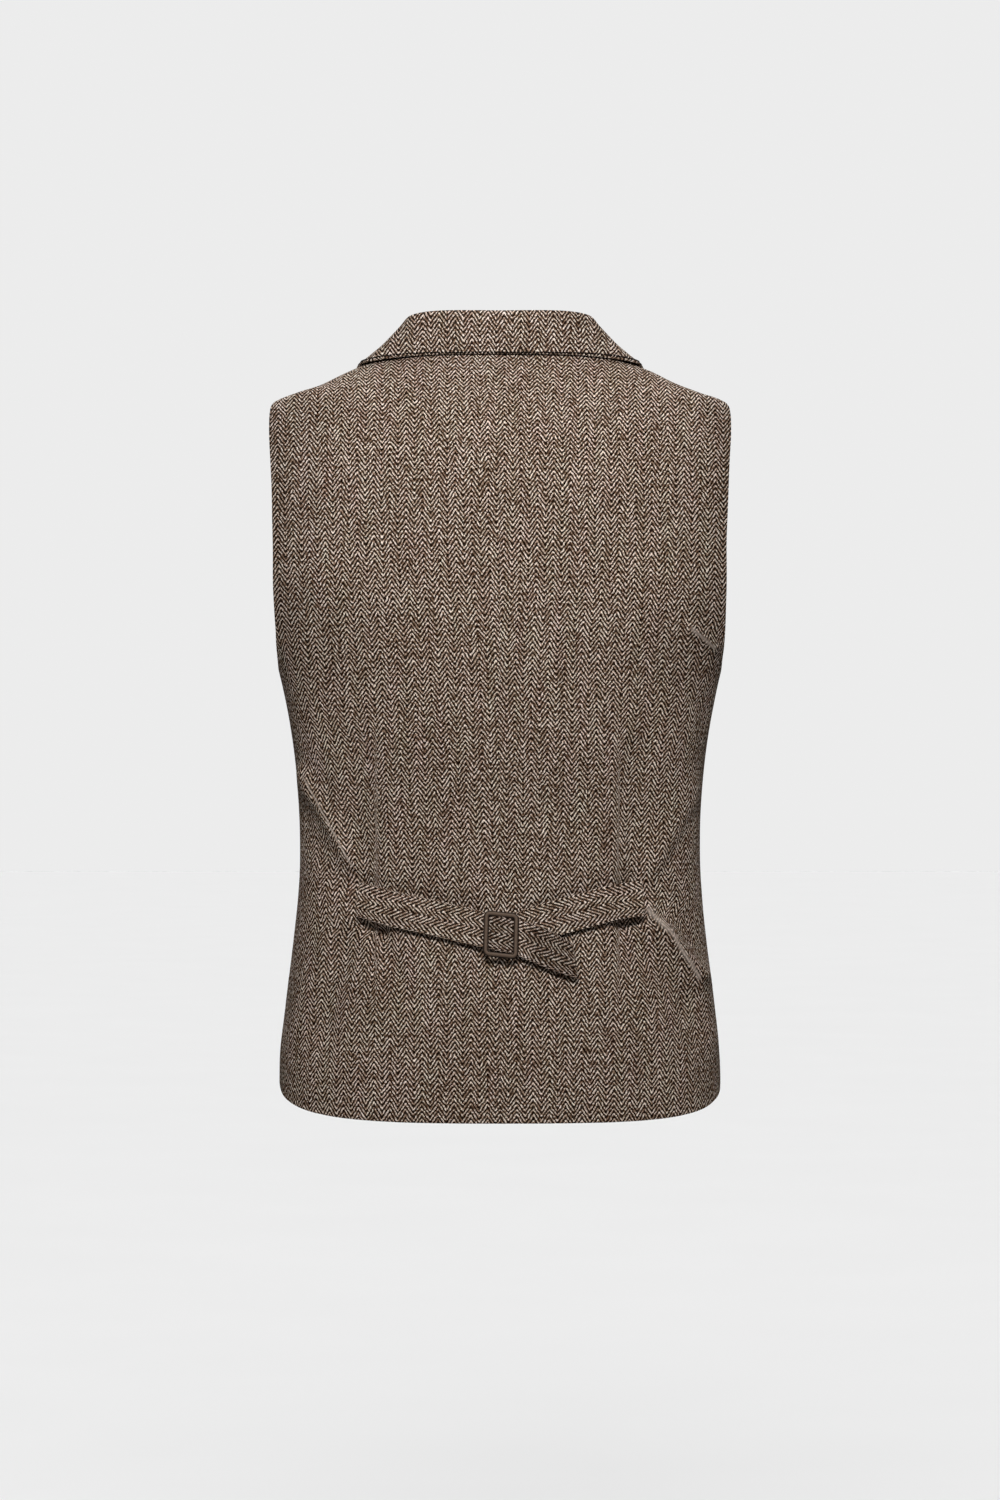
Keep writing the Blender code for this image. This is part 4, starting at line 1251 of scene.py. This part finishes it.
def make_buttonholes():
    """Worked edge of each buttonhole: a tube round a long oval, ridged by its stitches."""
    grids = []
    a = np.linspace(0, 2 * math.pi, 120, endpoint=False)
    middle = (HOLE_ENDS[0] + HOLE_ENDS[1]) / 2
    half = (HOLE_ENDS[1] - HOLE_ENDS[0]) / 2
    for height in BUTTONS:
        x = middle + half * np.sign(np.cos(a)) * np.abs(np.cos(a)) ** 0.7
        z = height + HOLE_HALF * np.sin(a)
        line = on_front(x, z, 0.0002)
        size = HOLE_EDGE * (0.88 + 0.12 * np.cos(40 * a))
        n = outward(turn_of(x, z, True), z)
        grids.append(tube(line, size, 8, True, up=n))
    return tubes("buttonholes", grids, GIMP, True)


# Cloth pieces, buckle, buttons and buttonholes, with the model's parts that they replace hidden
CLOTHS = {**make_panels(), **make_collar(), **make_straps()}
BUCKLE, BUCKLE_BAR = make_buckle()
for node, piece in CLOTHS.items():
    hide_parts(node)
for piece in (BUCKLE, BUCKLE_BAR):
    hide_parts("buckle")
for number, height in enumerate(BUTTONS, 1):
    disc, thread = make_button(number, height)
    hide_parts("button_%d" % number)
make_buttonholes()

# Soft suns: turn about Z from the back, height in degrees, strength, softness in degrees
SUNS = (
    ("key", 34.0, 42.0, 0.24, 8.0),
    ("top", 0.0, 85.0, 0.25, 60.0),
    ("front", 180.0, 52.0, 2.9, 50.0),
)
SKY = 0.070

# Plain pale floor, as pale to the eye as the surroundings
PALE = 0.84
FLOOR_LIT = math.pi * SKY + sum(row[3] * math.sin(math.radians(row[2])) for row in SUNS)
BOX_AT = Vector((0.05, 1.30, 0.50))
BOX_TO = Vector((0.0, 0.08, -0.25))
BOX_POWER = 20.0
FLOOR_Z = -1.25
FLOOR_HALF = 30.0
FLOOR_GREY = (0.22, 0.22, 0.22, 1.0)
mesh = bpy.data.meshes.new("floor")
signs = ((-1, -1), (1, -1), (1, 1), (-1, 1))
corners = [(x * FLOOR_HALF, y * FLOOR_HALF, FLOOR_Z) for x, y in signs]
mesh.from_pydata(corners, [], [(0, 1, 2, 3)])
floor = show("floor", mesh)
mesh.materials.append(floor_material())

world = bpy.data.worlds.new("studio")
bpy.context.scene.world = world
world.use_nodes = True
sky = world.node_tree
seen = sky.nodes["Background"]
seen.inputs["Color"].default_value = (PALE, PALE, PALE, 1.0)
soft = add_node(sky, "ShaderNodeBackground", {"Color": (1.0, 1.0, 1.0, 1.0), "Strength": SKY})
path = add_node(sky, "ShaderNodeLightPath", output="Is Camera Ray")
choose = add_node(sky, "ShaderNodeMixShader", {0: path, 1: soft, 2: Value(sky, seen.outputs[0])})
link(choose, sky.nodes["World Output"].inputs["Surface"])

for name, turn, height, strength, soften in SUNS:
    lamp = bpy.data.lights.new(name, "SUN")
    lamp.energy = strength
    lamp.angle = math.radians(soften)
    thing = show(name, lamp)
    thing.rotation_euler = (math.radians(90 - height), 0, math.radians(180 + turn))

# Soft box above the camera: place, what it looks at, its sides and power
lamp = bpy.data.lights.new("soft_box", "AREA")
lamp.shape = "RECTANGLE"
lamp.size = 0.50
lamp.size_y = 0.35
lamp.energy = BOX_POWER
thing = show("soft_box", lamp)
thing.location = BOX_AT
thing.rotation_euler = (BOX_TO - BOX_AT).to_track_quat("-Z", "Y").to_euler()

# Camera behind the wearer, level with the middle of the picture
CAMERA_FAR = 3.5
CAMERA_Z = -0.320
camera = bpy.data.cameras.new("camera")
camera.lens = 105.0
camera.sensor_width = 36.0
camera.clip_end = 200.0
eye = show("camera", camera)
eye.location = (0, CAMERA_FAR, CAMERA_Z)
eye.rotation_euler = (math.radians(90), 0, math.radians(180))
bpy.context.scene.camera = eye
bpy.context.scene.view_settings.view_transform = "Standard"
